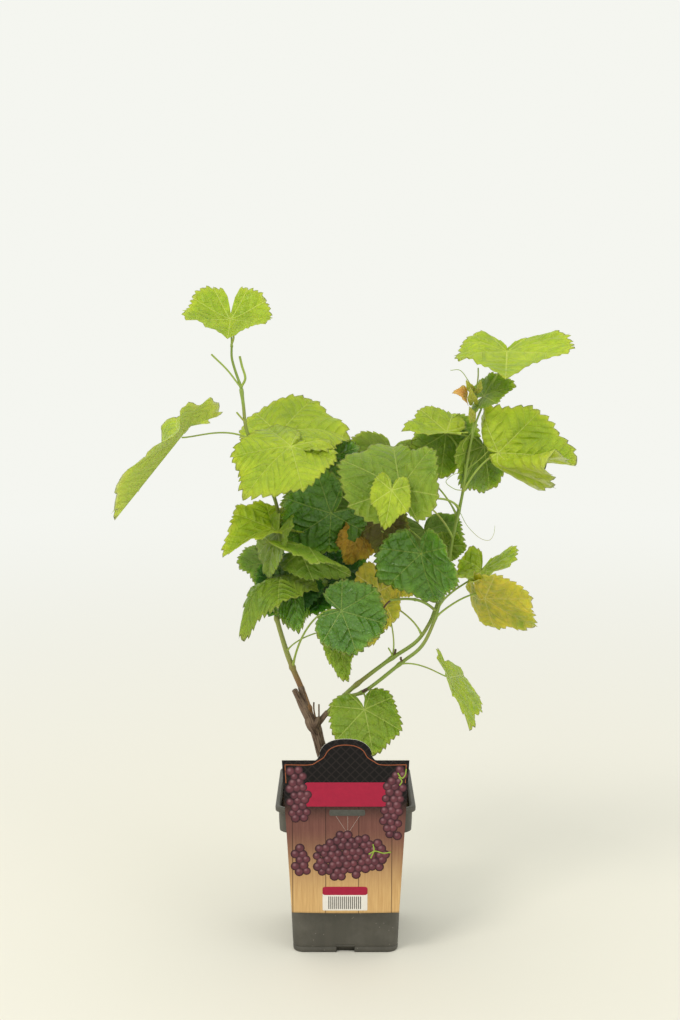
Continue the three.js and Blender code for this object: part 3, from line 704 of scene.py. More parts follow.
def buildYoungBark(tree):
    # One-year cane: tan-brown bark, smooth with fine streaks, turning green towards its end
    skin = addNode(tree, "UVMap", uv_map="skin")
    place = addNode(tree, "TexCoord", out="Object")
    height = addNode(tree, "SeparateXYZ", place, out="Z")
    low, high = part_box("left_arm")
    green = addNode(tree, "MapRange", height, low.z + 0.035, high.z - 0.035, 0.0, 1.0,
                    interpolation_type="SMOOTHSTEP")
    long = addNode(tree, "Mapping", skin, None, None, (100 / 0.9, 100 / 30, 1))
    streak = addNode(tree, "TexNoise", Vector=long, Scale=1.0, Detail=4.0)
    tan = addNode(tree, "MixRGB", streak, hexColour("#5f4026"), hexColour("#a87f4f"))
    fresh = addNode(tree, "MixRGB", streak, hexColour("#7c8a3c"), hexColour("#b3b765"))
    colour = addNode(tree, "MixRGB", green, tan, fresh)
    normal = addNode(tree, "Bump", Strength=0.5, Distance=0.0004, Height=streak)
    return addNode(tree, "BsdfPrincipled", out="BSDF", Base_Color=colour, Roughness=0.6, Normal=normal)


def greenStem(name, light, dark, blush):
    # Green shoot, ribbed and waxy: fresh green with a browner side and faint long ribs
    def build(tree):
        skin = addNode(tree, "UVMap", uv_map="skin")
        place = addNode(tree, "TexCoord", out="Object")
        long = addNode(tree, "Mapping", skin, None, None, (100 / 0.8, 100 / 26, 1))
        ribs = addNode(tree, "TexNoise", Vector=long, Scale=1.0, Detail=3.0)
        patch = addNode(tree, "TexNoise", Vector=place, Scale=1 / 0.03, Detail=2.0)
        green = addNode(tree, "MixRGB", ribs, hexColour(dark), hexColour(light))
        share = addNode(tree, "MapRange", patch, 0.5, 0.72, 0.0, 0.55)
        colour = addNode(tree, "MixRGB", share, green, hexColour(blush))
        normal = addNode(tree, "Bump", Strength=0.5, Distance=0.0003, Height=ribs)
        return addNode(
            tree, "BsdfPrincipled", out="BSDF", Base_Color=colour, Roughness=0.45, Normal=normal,
            Subsurface_Weight=0.2, Subsurface_Radius=(0.6, 0.8, 0.2), Subsurface_Scale=0.001,
        )

    return newMaterial(name, build)


def limbTube(name, sides, steps, relief, knots=(), foot=0.0):
    # A limb's skin: the radius falls evenly from foot to end, with foot mm more at the ground, and
    # swells to (1+0.32*exp(-((t-at)/0.022)^2)) times that at each knot
    route, fromRadius, toRadius = limbs[name]
    share = np.linspace(0, 1, steps)
    whole = np.linspace(0, 1, len(limbPaths[name]))
    path = np.stack([np.interp(share, whole, limbPaths[name][:, axis]) for axis in range(3)], 1)
    radius = fromRadius + (toRadius - fromRadius) * share + foot * np.maximum(0, 1 - share * 5) ** 2
    for at in knots:
        radius = radius * (1 + 0.32 * np.exp(-(((share - at) / 0.022) ** 2)))
    return tube(path, radius * 0.96, sides, relief)


shootKnots = {
    "left_shoot": (0.02, 0.3, 0.55, 0.78, 0.99),
    "left_shoot_tip": (0.02, 0.97),
    "right_arm": (0.29, 0.51, 0.83, 0.97),
    "right_shoot_lower": (0.12, 0.46, 0.9),
    "right_shoot_upper": (0.02, 0.2, 0.42, 0.6, 0.78, 0.96),
    "side_shoot": (0.5, 0.98),
    "left_spur": (0.1,),
}
oldBark = newMaterial("vine bark, weathered and peeling", buildOldBark)
youngBark = newMaterial("one-year cane bark, streaked", buildYoungBark)
shootSkin = greenStem("green shoot, ribbed and waxy", "#a3b552", "#6d8a33", "#8a7440")
stalkSkin = greenStem("leaf stalk, smooth and waxy", "#b5c55e", "#8ba63f", "#b9a05a")
deadSkin = greenStem("dried stalk, shrivelled", "#6a5138", "#3c2a1d", "#8a6c4c")

crown = {  # the knotty head where the arms part: routes in mm and radii along them
    "head": ([(-29, 2, 206), (-33, 0, 214), (-36, -1, 223)], (5.2, 6.3, 6.0, 4.2)),
    "to_stub": ([(-33, 0, 214), (-40, -2, 227), (-46, -3, 240)], (4.2, 4.0, 3.4, 3.0)),
    "to_left": ([(-33, 1, 212), (-38, 1, 230), (-44, 2, 250)], (4.2, 4.0, 3.6, 3.1)),
    "to_right": ([(-31, 0, 211), (-25, -1, 217), (-18, -2, 226)], (4.0, 3.3, 2.7, 2.3)),
    "knob": ([(-31, -4, 211), (-28, -6, 217), (-26, -6, 222)], (2.6, 3.2, 2.8, 1.4)),
}
old = [
    limbTube("trunk", bark["sides"], bark["steps"], barkRelief(3, bark["ridge"], (2, 5, 7, 11)), foot=3.2),
    limbTube("old_stub", bark["sides"], 70, barkRelief(9, bark["ridge"], (3, 5, 9))),
]
for number, (route, radii) in enumerate(crown.values()):
    swell = np.interp(np.linspace(0, 1, 40), np.linspace(0, 1, len(radii)), radii)
    relief = barkRelief(40 + number, bark["ridge"] * 1.4, (2, 4, 7))
    old.append(tube(smoothPath(route, 40), swell, 30, relief, blunt=0.8))
makeMesh("old_wood", old, [oldBark], ["trunk", "old_stub"])
arm = limbTube("left_arm", 24, 120, barkRelief(5, 0.03, (3, 5, 8)), (0.1, 0.5, 0.97))
makeMesh("young_arm", [arm], [youngBark], ["left_arm"])
shoots = [
    limbTube(name, bark["shootSides"], 130, barkRelief(20 + number, 0.02, (4, 6)), knots)
    for number, (name, knots) in enumerate(shootKnots.items())
]
makeMesh("green_shoots", shoots, [shootSkin], list(shootKnots))
print("limbs:", len(limbs), "with bark and knots")


stalkRoots = {  # which limb each leaf's stalk leaves, how far along it, and the stalk's foot radius
    "top_left": ("left_shoot_tip", 0.98, 0.9),
    "far_left": ("left_shoot", 0.79, 0.9),
    "left_front": ("left_shoot", 0.62, 1.0),
    "left_crown": ("left_shoot", 0.74, 1.0),
    "left_inner": ("left_shoot", 0.55, 0.9),
    "centre_left": ("left_shoot", 0.4, 1.0),
    "centre_top": ("right_shoot_upper", 0.44, 1.1),
    "centre_bright": ("right_shoot_upper", 0.3, 0.9),
    "centre_bronze": ("right_shoot_upper", 0.14, 0.8),
    "centre_rusty": ("right_shoot_upper", 0.07, 0.7),
    "centre_right": ("right_shoot_upper", 0.12, 1.1),
    "right_small": ("right_shoot_upper", 0.2, 0.7),
    "centre_olive": ("side_shoot", 0.8, 0.7),
    "right_saddle": ("right_shoot_lower", 0.99, 1.0),
    "right_yellow": ("right_shoot_lower", 0.9, 1.0),
    "right_hanging": ("right_shoot_lower", 0.47, 0.8),
    "low_heart": ("right_shoot_lower", 0.12, 0.9),
    "left_wing": ("left_shoot", 0.35, 0.9),
    "left_pendant": ("left_shoot", 0.3, 0.8),
    "left_curled": ("left_shoot", 0.2, 0.9),
    "left_drooping": ("left_shoot", 0.12, 1.1),
    "left_strip": ("left_shoot", 0.15, 0.9),
    "left_recess": ("left_shoot", 0.18, 0.8),
    "dark_inner": ("left_shoot", 0.06, 0.9),
    "low_crinkled": ("left_arm", 0.5, 1.1),
    "low_flap": ("left_arm", 0.66, 0.8),
    "low_yellow": ("right_arm", 0.51, 0.8),
    "top_right": ("right_shoot_upper", 0.79, 1.0),
    "right_shoot_leaf": ("right_shoot_upper", 0.9, 0.8),
    "right_wing": ("right_shoot_upper", 0.76, 0.8),
    "right_inner": ("right_shoot_upper", 0.62, 0.9),
    "far_right": ("right_shoot_upper", 0.52, 1.1),
    "right_back": ("right_shoot_upper", 0.56, 0.9),
    "back_top": ("right_shoot_upper", 0.4, 0.9),
    "back_upper_left": ("left_shoot", 0.66, 0.9),
    "back_left": ("left_shoot", 0.45, 0.9),
    "back_right": ("right_shoot_upper", 0.16, 0.9),
    "back_low": ("right_arm", 0.7, 0.9),
    "back_low_left": ("left_shoot", 0.1, 0.9),
}


def bezier(points, count):
    # (1-t)^3 a + 3(1-t)^2 t b + 3(1-t)t^2 c + t^3 d
    t = np.linspace(0, 1, count)[:, None]
    a, b, c, d = (np.asarray(p, float) for p in points)
    return (1 - t) ** 3 * a + 3 * (1 - t) ** 2 * t * b + 3 * (1 - t) * t**2 * c + t**3 * d


def stalkPath(name):
    # From a knot on the limb, out and up, then in at the notch of the leaf from its underside
    limb, share, _ = stalkRoots[name]
    foot, way = limbPoint(limb, share)
    stalk, _, along, _, face = leafAxes(leaves[name])
    end = stalk - face * 0.3
    reach = np.linalg.norm(end - foot)
    out = (end - foot) / reach
    first = foot + (out * 0.75 + way * 0.55) * reach * 0.38
    second = end - (along * 0.45 + face * 0.55) * reach * 0.36
    return bezier([foot, first, second, end], 26)


stalks = []
for name, (limb, share, radius) in stalkRoots.items():
    path = stalkPath(name)
    along = np.linspace(0, 1, len(path))
    taper = radius * (1 - 0.25 * along + 0.6 * np.exp(-((along / 0.06) ** 2)) + 0.12 * along**8)
    stalks.append(tube(path, taper, 8))
makeMesh("leaf_stalks", stalks, [stalkSkin])

stubs = {  # bare stalks whose leaf has gone: route in mm, radius
    "tip_node_left": ([(-101, -2, 546), (-113, -4, 562), (-128, -6, 577)], 0.9),
    "tip_node_right": ([(-100, -2, 546), (-96, -4, 554), (-99, -5, 566), (-101, -5, 575)], 1.2),
    "shoot_left": ([(-96, -6, 512), (-100, -9, 517), (-104, -11, 522)], 0.9),
    "tip_bud": ([(-109, -2, 586), (-107, -3, 592), (-107, -4, 598)], 1.0),
    "right_arm_stub": ([(46, -2, 281), (45, -5, 286), (42, -8, 292)], 0.8),
    "upper_tip": ([(126, -2, 546), (127, -3, 556), (127, -3, 564)], 0.7),
}
bareStalks = [tube(smoothPath(route, 18), radius, 8) for route, radius in stubs.values()]
makeMesh("bare_stalks", bareStalks, [stalkSkin])

deadBits = {  # dried twigs, buds and scraps: route in mm, radius
    "crown_twig_left": ([(-29, -3, 218), (-31, -5, 230), (-31, -6, 237)], 0.8),
    "crown_twig_right": ([(-26, -3, 218), (-26, -5, 229), (-26, -6, 235)], 0.8),
    "arm_bud": ([(48, -4, 285), (49, -5, 288), (49, -6, 290)], 1.1),
    "lower_bud": ([(17, -14, 250), (19, -16, 252), (21, -17, 253)], 1.5),
    "lower_bud_second": ([(55, -12, 280), (54, -13, 282), (54, -13, 284)], 1.1),
    "side_scrap": ([(44, -12, 340), (40, -14, 337), (37, -14, 333)], 1.0),
}
dryTwigs = [tube(smoothPath(route, 16), radius, 9) for route, radius in deadBits.values()]
makeMesh("dry_buds_and_twigs", dryTwigs, [deadSkin])

tendrils = {  # routes in mm, with the radius at the foot
    "upper_left": ([(126, -2, 541), (120, -6, 548), (109, -9, 562), (100, -10, 562)], 0.55),
    "middle_left": ([(122, -2, 503), (117, -8, 498), (112, -12, 490), (113, -14, 485)], 0.4),
    "pale_hook": (
        [(111, 0, 425), (118, -6, 412), (131, -10, 400), (139, -12, 399), (143, -12, 405),
         (144, -12, 413)], 0.3
    ),
    "leaf_curl": (
        [(117, -2, 466), (130, -10, 478), (143, -16, 492), (153, -17, 497), (155, -17, 491)], 0.4
    ),
    "centre_curl": (
        [(114, -1, 446), (104, -14, 449), (96, -18, 456), (101, -20, 462), (112, -16, 466)], 0.45
    ),
    "node_scrap": ([(100, 2, 380), (92, -8, 392), (88, -12, 402)], 0.4),
}
vines = []
for route, radius in tendrils.values():
    path = smoothPath(route, 60)
    vines.append(tube(path, radius * np.linspace(1, 0.55, 60), 7))
makeMesh("tendrils", vines, [stalkSkin])
print("stalks:", len(stalks), "leaf stalks,", len(tendrils), "tendrils,", len(deadBits), "dry bits")


potLow, potHigh = (np.array(corner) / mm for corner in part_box("pot"))
potHeight = potHigh[2] - potLow[2]
pot = {  # in mm: half sides, heights and walls
    "rimHalf": (potHigh[0] - potLow[0]) / 2, "rimDepth": 5, "collarInset": 3, "collarHeight": 26,
    "wallTopHalf": 56, "baseHalf": 51, "wall": 2, "collarWall": 0.9, "corner": 11, "floorTop": 8,
    "notchHalf": 9, "notchHeight": 5, "notchDepth": 5, "footLine": 5.5,
}


def potPart():
    # Rings of a square with round corners: (half, z, radius) down the profile, with the columns at the
    # foot's notches raised. Outer wall, lip, inner wall and floor in one closed skin
    height, ledge = potHeight, potHeight - pot["collarHeight"]
    wall = pot["wall"]
    slope = (pot["wallTopHalf"] - pot["baseHalf"]) / ledge
    at = lambda z: pot["baseHalf"] + slope * z
    base, line, rim = pot["baseHalf"], pot["footLine"], pot["rimDepth"]
    profile = [  # half side, height, how much of the notch's rise it takes
        (base - pot["notchDepth"], 0, 0), (base - pot["notchDepth"], 0, 1), (base - 1.2, 0, 1),
        (base - 0.3, 0.35, 1), (at(1.4), 1.4, 1), (at(2.4), 2.4, 0.8), (at(line) - 0.1, line - 0.6, 0.5),
        (at(line) - 0.7, line, 0.4), (at(line) - 0.1, line + 0.6, 0.3), (at(9), 9, 0),
    ]
    profile += [(at(z), z, 0) for z in np.linspace(line + 4, ledge - 1.2, 14)]
    r = pot["rimHalf"]
    c = r - pot["collarInset"]
    inner = c - pot["collarWall"]
    profile += [
        (at(ledge) + 0.2, ledge - 0.5, 0), (at(ledge) + 1.2, ledge, 0), (c - 1.6, ledge + 0.2, 0),
        (c - 0.9, ledge + 0.8, 0), (c - 0.8, ledge + 2, 0), (c - 0.4, ledge + 9, 0),
        (c - 0.1, height - rim - 0.6, 0), (c + 0.3, height - rim, 0),
        (r - 0.6, height - rim, 0), (r - 0.1, height - rim + 0.5, 0),
        (r, height - 1.4, 0), (r - 0.4, height - 0.5, 0), (r - 1.1, height, 0), (inner + 0.6, height, 0),
        (inner, height - 0.6, 0), (inner - 0.6, ledge + 2.4, 0), (at(ledge) - wall, ledge + 1.6, 0),
        (at(60) - wall, 60, 0), (at(9) - wall, 9, 0),
        (at(pot["floorTop"]) - wall - 1, pot["floorTop"], 0),
    ]
    flatSteps = np.array([
        -1, -0.8, -0.6, -0.4, -0.24, -0.2201, -0.22, -0.1, 0, 0.1, 0.22, 0.2201, 0.24, 0.4, 0.6, 0.8,
    ])
    ups = (np.abs(flatSteps) < 0.2201) * pot["notchHeight"]  # the columns that the notch raises
    inNotch = np.clip(flatSteps * pot["baseHalf"] * 0.784, -pot["notchHalf"], pot["notchHalf"])
    cornerSteps = np.linspace(0, 1, 11)[:-1]
    rings = []
    for half, z, take in profile:
        radius = min(pot["corner"], half * 0.9)
        core = half - radius
        ring = []
        for turn in range(4):
            along = np.where(np.abs(flatSteps) < 0.23, inNotch, flatSteps * core)
            straight = np.stack([along, np.full(len(flatSteps), -half), z + take * ups], 1)
            angle = cornerSteps * math.pi / 2
            bendX, bendY = core + radius * np.sin(angle), -core - radius * np.cos(angle)
            bend = np.stack([bendX, bendY, np.full(len(angle), z)], 1)
            side = np.concatenate([straight, bend])
            cosine, sine = round(math.cos(turn * math.pi / 2)), round(math.sin(turn * math.pi / 2))
            ring.append(side @ np.array([[cosine, sine, 0], [-sine, cosine, 0], [0, 0, 1]]))
        rings.append(np.concatenate(ring))
    columns = len(rings[0])
    points = np.concatenate(rings + [[[0, 0, 0]], [[0, 0, pot["floorTop"]]]])
    faces = [gridFaces(len(rings), columns)]
    faces.append(fanFaces(np.arange(columns), len(points) - 2, turnedOver=True))
    faces.append(fanFaces(np.arange(columns) + (len(rings) - 1) * columns, len(points) - 1))
    return outwards({"points": points + (0, 0, potLow[2]), "faces": np.concatenate(faces)})


def buildPotPlastic(tree):
    # Recycled polypropylene, thin and moulded: dull grey-brown with flow streaks, fine grain, dust
    # in patches and rubbed lighter specks
    place = addNode(tree, "TexCoord", out="Object")
    grain = addNode(tree, "TexNoise", Vector=place, Scale=1 / 0.0011, Detail=3.0)
    drawn = addNode(tree, "Mapping", place, None, None, (1 / 0.008, 1 / 0.008, 1 / 0.09))
    streak = addNode(tree, "TexNoise", Vector=drawn, Scale=1.0, Detail=4.0)
    cloud = addNode(tree, "TexNoise", Vector=place, Scale=1 / 0.035, Detail=5.0, Roughness=0.65)
    base = addNode(tree, "MixRGB", streak, hexColour("#403e37"), hexColour("#514e45"))
    dust = addNode(tree, "MapRange", cloud, 0.48, 0.74, 0.0, 0.35)
    colour = addNode(tree, "MixRGB", dust, base, hexColour("#78746a"))
    speck = addNode(tree, "TexVoronoi", Vector=place, Scale=1 / 0.006, out="Distance")
    spots = addNode(tree, "MapRange", speck, 0.06, 0.1, 0.6, 0.0)
    colour = addNode(tree, "MixRGB", spots, colour, hexColour("#8d877b"))
    rough = addNode(tree, "MapRange", cloud, 0.3, 0.7, 0.42, 0.62)
    height = addNode(tree, "Math", streak, 0.5, grain, operation="MULTIPLY_ADD")
    normal = addNode(tree, "Bump", Strength=0.35, Distance=0.0003, Height=height)
    return addNode(tree, "BsdfPrincipled", out="BSDF", Base_Color=colour, Roughness=rough, Normal=normal)


potPlastic = newMaterial("recycled polypropylene, moulded", buildPotPlastic)
potPiece = makeMesh("nursery_pot", [potPart()], [potPlastic], ["pot"])
print("pot: moulded skin with", len(potPiece.data.polygons), "triangles")


soil = {
    "steps": 110, "hump": 1.2, "grain": 1.1,  # mm that humps and grains rise
    "sunk": 1, "overlap": 1.4, "skirtFoot": 90, "skirtInset": 6,  # mm
    "crumbs": 420, "moss": 150, "grit": 60,  # how many of each
}


def fieldNoise(x, y, seed, size, octaves=4):
    # Sum of sines in seeded directions, each octave half as long and half as high
    draw = np.random.default_rng(seed)
    total = 0
    for octave in range(octaves):
        for _ in range(5):
            way, start = draw.uniform(0, 2 * math.pi, 2)
            k = 2 * math.pi * 2**octave / size
            total = total + np.sin((x * math.cos(way) + y * math.sin(way)) * k + start) / 2**octave / 2.2
    return total


def soilPart():
    # A square of peat: the top is z = level + humps + grains over (x, y); its side goes down the wall
    low, high = (np.array(corner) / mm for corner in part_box("soil"))
    half = (high[0] - low[0]) / 2 + soil["overlap"]
    n = soil["steps"]
    u, v = np.meshgrid(np.linspace(-1, 1, n), np.linspace(-1, 1, n), indexing="ij")
    x, y = u * half * np.sqrt(1 - 0.09 * v**2), v * half * np.sqrt(1 - 0.09 * u**2)
    edge = np.maximum(np.abs(u), np.abs(v))
    z = high[2] - soil["sunk"] + soil["hump"] * fieldNoise(x, y, 4, 60, 2)
    z = z + soil["grain"] * fieldNoise(x, y, 6, 9, 3)
    z = np.minimum(z, high[2] + 2) - 2.5 * smoothStep(0.9, 1, edge)
    top = np.stack([x, y, z], -1).reshape(-1, 3)
    faces = gridFaces(n, n, around=False)
    index = np.arange(n * n).reshape(n, n)
    rim = np.concatenate([index[:-1, 0], index[-1, :-1], index[:0:-1, -1], index[0, :0:-1]])
    below = top[rim].copy()
    below[:, :2] *= (pot["wallTopHalf"] - soil["skirtInset"]) / half
    below[:, 2] = low[2] + soil["skirtFoot"]
    start = len(top)
    m = len(rim)
    ring = np.arange(m)
    after = np.roll(ring, -1)
    skirt = [np.stack([rim[after], rim[ring], start + ring], 1)]
    skirt.append(np.stack([rim[after], start + ring, start + after], 1))
    points = np.concatenate([top, below, [[0, 0, low[2] + soil["skirtFoot"]]]])
    under = np.stack([start + after, start + ring, np.full(m, len(points) - 1)], 1)
    bed = {"points": points, "faces": np.concatenate([faces[:, ::-1], *skirt, under])}
    return outwards(bed), half, high[2]


def buildPeat(tree):
    # Moist peat, crumbled: near-black brown with fibres, paler dry crumbs and green specks of moss
    place = addNode(tree, "TexCoord", out="Object")
    crumb = addNode(tree, "TexNoise", Vector=place, Scale=1 / 0.003, Detail=6.0, Roughness=0.7)
    patch = addNode(tree, "TexNoise", Vector=place, Scale=1 / 0.012, Detail=3.0)
    dark = addNode(tree, "MixRGB", crumb, hexColour("#17100b"), hexColour("#5b4330"))
    moss = addNode(tree, "MapRange", patch, 0.58, 0.7, 0.0, 0.55)
    colour = addNode(tree, "MixRGB", moss, dark, hexColour("#55602c"))
    normal = addNode(tree, "Bump", Strength=0.9, Distance=0.0012, Height=crumb)
    return addNode(tree, "BsdfPrincipled", out="BSDF", Base_Color=colour, Roughness=0.95, Normal=normal)


def pebble(sides=7):
    # A low-poly ball: rings of a sphere at three heights and two poles
    angle = np.linspace(0, 2 * math.pi, sides, endpoint=False)
    rings = [
        np.stack([np.cos(angle) * w, np.sin(angle) * w, np.full(sides, z)], 1)
        for w, z in ((0.7, -0.7), (1, 0), (0.7, 0.7))
    ]
    points = np.concatenate(rings + [[[0, 0, -1]], [[0, 0, 1]]])
    faces = [gridFaces(3, sides), fanFaces(np.arange(sides), 3 * sides, turnedOver=True)]
    faces.append(fanFaces(np.arange(sides) + 2 * sides, 3 * sides + 1))
    return points, np.concatenate(faces)


def scattered(count, seed, sizes, half, level):
    # count pebbles on the soil, each stretched, turned and seeded
    draw = np.random.default_rng(seed)
    base, faces = pebble()
    spin = draw.uniform(0, 2 * math.pi, count)
    scale = draw.uniform(*sizes, (count, 3)) * (1, 1, 0.7)
    bumps = 1 + draw.uniform(-0.22, 0.22, (count, len(base), 1))
    points = base[None] * bumps * scale[:, None]
    turned = points.copy()
    turned[..., 0] = points[..., 0] * np.cos(spin)[:, None] - points[..., 1] * np.sin(spin)[:, None]
    turned[..., 1] = points[..., 0] * np.sin(spin)[:, None] + points[..., 1] * np.cos(spin)[:, None]
    place = draw.uniform(-0.95, 0.95, (count, 2)) * half
    turned[..., :2] += place[:, None]
    turned[..., 2] += level - soil["sunk"] + draw.uniform(-0.6, 1.2, (count, 1))
    every = faces[None] + (np.arange(count) * len(base))[:, None, None]
    return {"points": turned.reshape(-1, 3), "faces": every.reshape(-1, 3)}


peat = newMaterial("moist peat, crumbled", buildPeat)
soilMesh, soilHalf, soilLevel = soilPart()
makeMesh("peat_bed", [soilMesh], [peat], ["soil"])


def plainGrain(name, light, dark, roughness):
    # Loose grains: two tones from grain to grain, matt and pitted
    def build(tree):
        place = addNode(tree, "TexCoord", out="Object")
        tone = addNode(tree, "TexNoise", Vector=place, Scale=1 / 0.004, Detail=3.0)
        colour = addNode(tree, "MixRGB", tone, hexColour(dark), hexColour(light))
        normal = addNode(tree, "Bump", Strength=0.6, Distance=0.0005, Height=tone)
        return addNode(tree, "BsdfPrincipled", out="BSDF", Base_Color=colour, Roughness=roughness,
                       Normal=normal)

    return newMaterial(name, build)


inside = soilHalf * 0.93
crumbs = scattered(soil["crumbs"], 11, (0.8, 2.6), inside, soilLevel)
makeMesh("peat_crumbs", [crumbs], [plainGrain("peat crumbs, dry", "#6b5039", "#21170f", 0.95)])
mossBits = scattered(soil["moss"], 12, (0.7, 2.0), inside, soilLevel)
makeMesh("moss_specks", [mossBits], [plainGrain("moss, clipped", "#7d8a3f", "#3f4d1f", 0.9)])
gritBits = scattered(soil["grit"], 13, (0.5, 1.4), inside, soilLevel)
makeMesh("grit", [gritBits], [plainGrain("grit, washed", "#a39a88", "#6e6250", 0.8)])
print("soil: bed with", soil["crumbs"] + soil["moss"] + soil["grit"], "grains")


card = {  # in mm, and its lean in degrees
    "topHalf": 60, "bottomHalf": 51.5, "height": 153.4, "archHalf": 24.5, "archRise": 21,
    "shoulderRise": 5, "shoulderHalf": 29, "bowDrop": 1.5, "bow": 0.6, "lean": 3.6, "thickness": 1,
    "columns": 181, "rows": 90,
}
lean = math.radians(card["lean"])
cardUp = np.array([0, -math.sin(lean), math.cos(lean)])
cardFront = np.array([0, -math.cos(lean), -math.sin(lean)])
cardLow, cardHigh = (np.array(corner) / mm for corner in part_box("picture_card"))
cardFoot = np.array([0, cardHigh[1], cardLow[2] + card["bowDrop"] * 0.5])


def onCard(across, up, proud=0.0):
    # The point across and up the card's face, in mm, standing proud of it
    across, up, proud = np.broadcast_arrays(across, up, proud)
    face = cardFoot + cardFront * card["thickness"]
    flat = across[..., None] * np.array([1, 0, 0]) + up[..., None] * cardUp
    return face + flat + proud[..., None] * cardFront


def cardBow(up):
    # How far the board bows forwards: bow * sin(pi * share of its height)
    return card["bow"] * np.sin(np.clip(up / card["height"], 0, 1) * math.pi)


def cardTop(across):
    # The top edge: an arch between two low shoulders that step in to it
    away = np.abs(across)
    foot, edge = card["shoulderRise"], card["archHalf"]
    arch = foot + (card["archRise"] - foot) * np.sqrt(np.clip(1 - (away / edge) ** 2.4, 0, 1))
    shoulder = foot * np.clip(1 - (away - edge) / (card["shoulderHalf"] - edge), 0, 1) ** 2
    return card["height"] + np.where(away <= edge, arch, shoulder)


def cardPart():
    # Board over (u, v): across = u * half width at that height, up from the bowed foot to the top edge
    n, m = card["columns"], card["rows"]
    u = np.linspace(-1, 1, n)
    edge = card["archHalf"] / card["topHalf"]
    close = np.array([-0.004, -0.002, 0, 0.002, 0.004])  # extra columns where the arch starts
    u = np.sort(np.concatenate([u, close - edge, close + edge]))
    n = len(u)
    v = np.linspace(0, 1, m)[:, None]
    foot = -card["bowDrop"] * 0.5 * (1 - u**2)
    up = foot + (cardTop(u * card["topHalf"]) - foot) * v
    rise = np.clip(up / card["height"], 0, 1.02)
    half = card["bottomHalf"] + (card["topHalf"] - card["bottomHalf"]) * rise
    across = u[None, :] * half
    front, back = onCard(across, up), onCard(across, up, -card["thickness"])
    bow = cardBow(up)[..., None] * cardFront
    points = np.concatenate([(front + bow).reshape(-1, 3), (back + bow).reshape(-1, 3)])
    size = n * m
    faces = gridFaces(m, n, around=False)
    index = np.arange(size).reshape(m, n)
    rim = np.concatenate([index[0, :-1], index[:-1, -1], index[-1, :0:-1], index[:0:-1, 0]])
    after = np.roll(rim, -1)
    wall = [np.stack([after, rim, rim + size], 1), np.stack([after, rim + size, after + size], 1)]
    which = np.repeat([0, 1], [len(faces), len(faces) + 2 * len(rim)])
    every = np.concatenate([faces, faces[:, ::-1] + size, *wall])
    return outwards({"points": points, "faces": every, "which": which})


def cardLevel(tree, place):
    # How far up the card a point is and how far across, in mm
    upward = addNode(tree, "VectorMath", place, tuple(cardUp / mm), operation="DOT_PRODUCT", out="Value")
    height = addNode(tree, "Math", upward, float(cardFoot @ cardUp), operation="SUBTRACT")
    left = addNode(tree, "SeparateXYZ", place, out="X")
    return addNode(tree, "Math", left, 1 / mm, operation="MULTIPLY"), height


def buildPrintedCard(tree):
    # Printed and varnished board: straw planks below, mauve in the middle, black with a faint
    # diamond lattice on top, under an even clear gloss
    place = addNode(tree, "TexCoord", out="Object")
    across, up = cardLevel(tree, place)
    flat = addNode(tree, "CombineXYZ", across, up)
    stretched = addNode(tree, "Mapping", flat, None, None, (1 / 1.6, 1 / 34, 1))
    grain = addNode(tree, "TexNoise", Vector=stretched, Scale=1.0, Detail=5.0, Roughness=0.6)
    shifted = addNode(tree, "Math", across, 12.5, operation="SUBTRACT")
    joint = addNode(tree, "Math", shifted, 15.75, operation="PINGPONG")
    seam = addNode(tree, "MapRange", joint, 0.2, 0.6, 0.7, 0.0)
    straw = addNode(tree, "MixRGB", grain, hexColour("#b07f4c"), hexColour("#ecc98c"))
    mauve = addNode(tree, "MixRGB", grain, hexColour("#5b3731"), hexColour("#875a50"))
    toMauve = addNode(tree, "MapRange", up, 8, 88, 0.0, 1.0, interpolation_type="SMOOTHSTEP")
    planks = addNode(tree, "MixRGB", toMauve, straw, mauve)
    planks = addNode(tree, "MixRGB", seam, planks, hexColour("#2c1b16"))
    # lattice: diamonds 9 mm wide
    rising = addNode(tree, "Math", across, up, operation="ADD")
    falling = addNode(tree, "Math", across, up, operation="SUBTRACT")
    first = addNode(tree, "Math", rising, 4.5, operation="PINGPONG")
    second = addNode(tree, "Math", falling, 4.5, operation="PINGPONG")
    line = addNode(tree, "Math", first, second, operation="MINIMUM")
    lattice = addNode(tree, "MapRange", line, 0.5, 1.1, 0.4, 0.0)
    black = addNode(tree, "MixRGB", lattice, hexColour("#0b0809"), hexColour("#352d2c"))
    toBlack = addNode(tree, "MapRange", up, 88, 116, 0.0, 1.0, interpolation_type="SMOOTHSTEP")
    colour = addNode(tree, "MixRGB", toBlack, planks, black)
    shine = addNode(tree, "TexNoise", Vector=place, Scale=1 / 0.02, Detail=2.0)
    rough = addNode(tree, "MapRange", shine, 0.3, 0.7, 0.36, 0.48)
    normal = addNode(tree, "Bump", Strength=0.12, Distance=0.0002, Height=grain)
    return addNode(tree, "BsdfPrincipled", out="BSDF", Base_Color=colour, Roughness=rough, Normal=normal,
                   Specular_IOR_Level=0.2)


def plainPrint(name, light, dark, scale=0.004, roughness=0.35):
    # Printed ink under varnish: one ink with the slight mottle of the board beneath
    def build(tree):
        place = addNode(tree, "TexCoord", out="Object")
        mottle = addNode(tree, "TexNoise", Vector=place, Scale=1 / scale, Detail=3.0)
        colour = addNode(tree, "MixRGB", mottle, hexColour(dark), hexColour(light))
        normal = addNode(tree, "Bump", Strength=0.08, Distance=0.0002, Height=mottle)
        return addNode(tree, "BsdfPrincipled", out="BSDF", Base_Color=colour, Roughness=roughness,
                       Normal=normal, Specular_IOR_Level=0.25)

    return newMaterial(name, build)


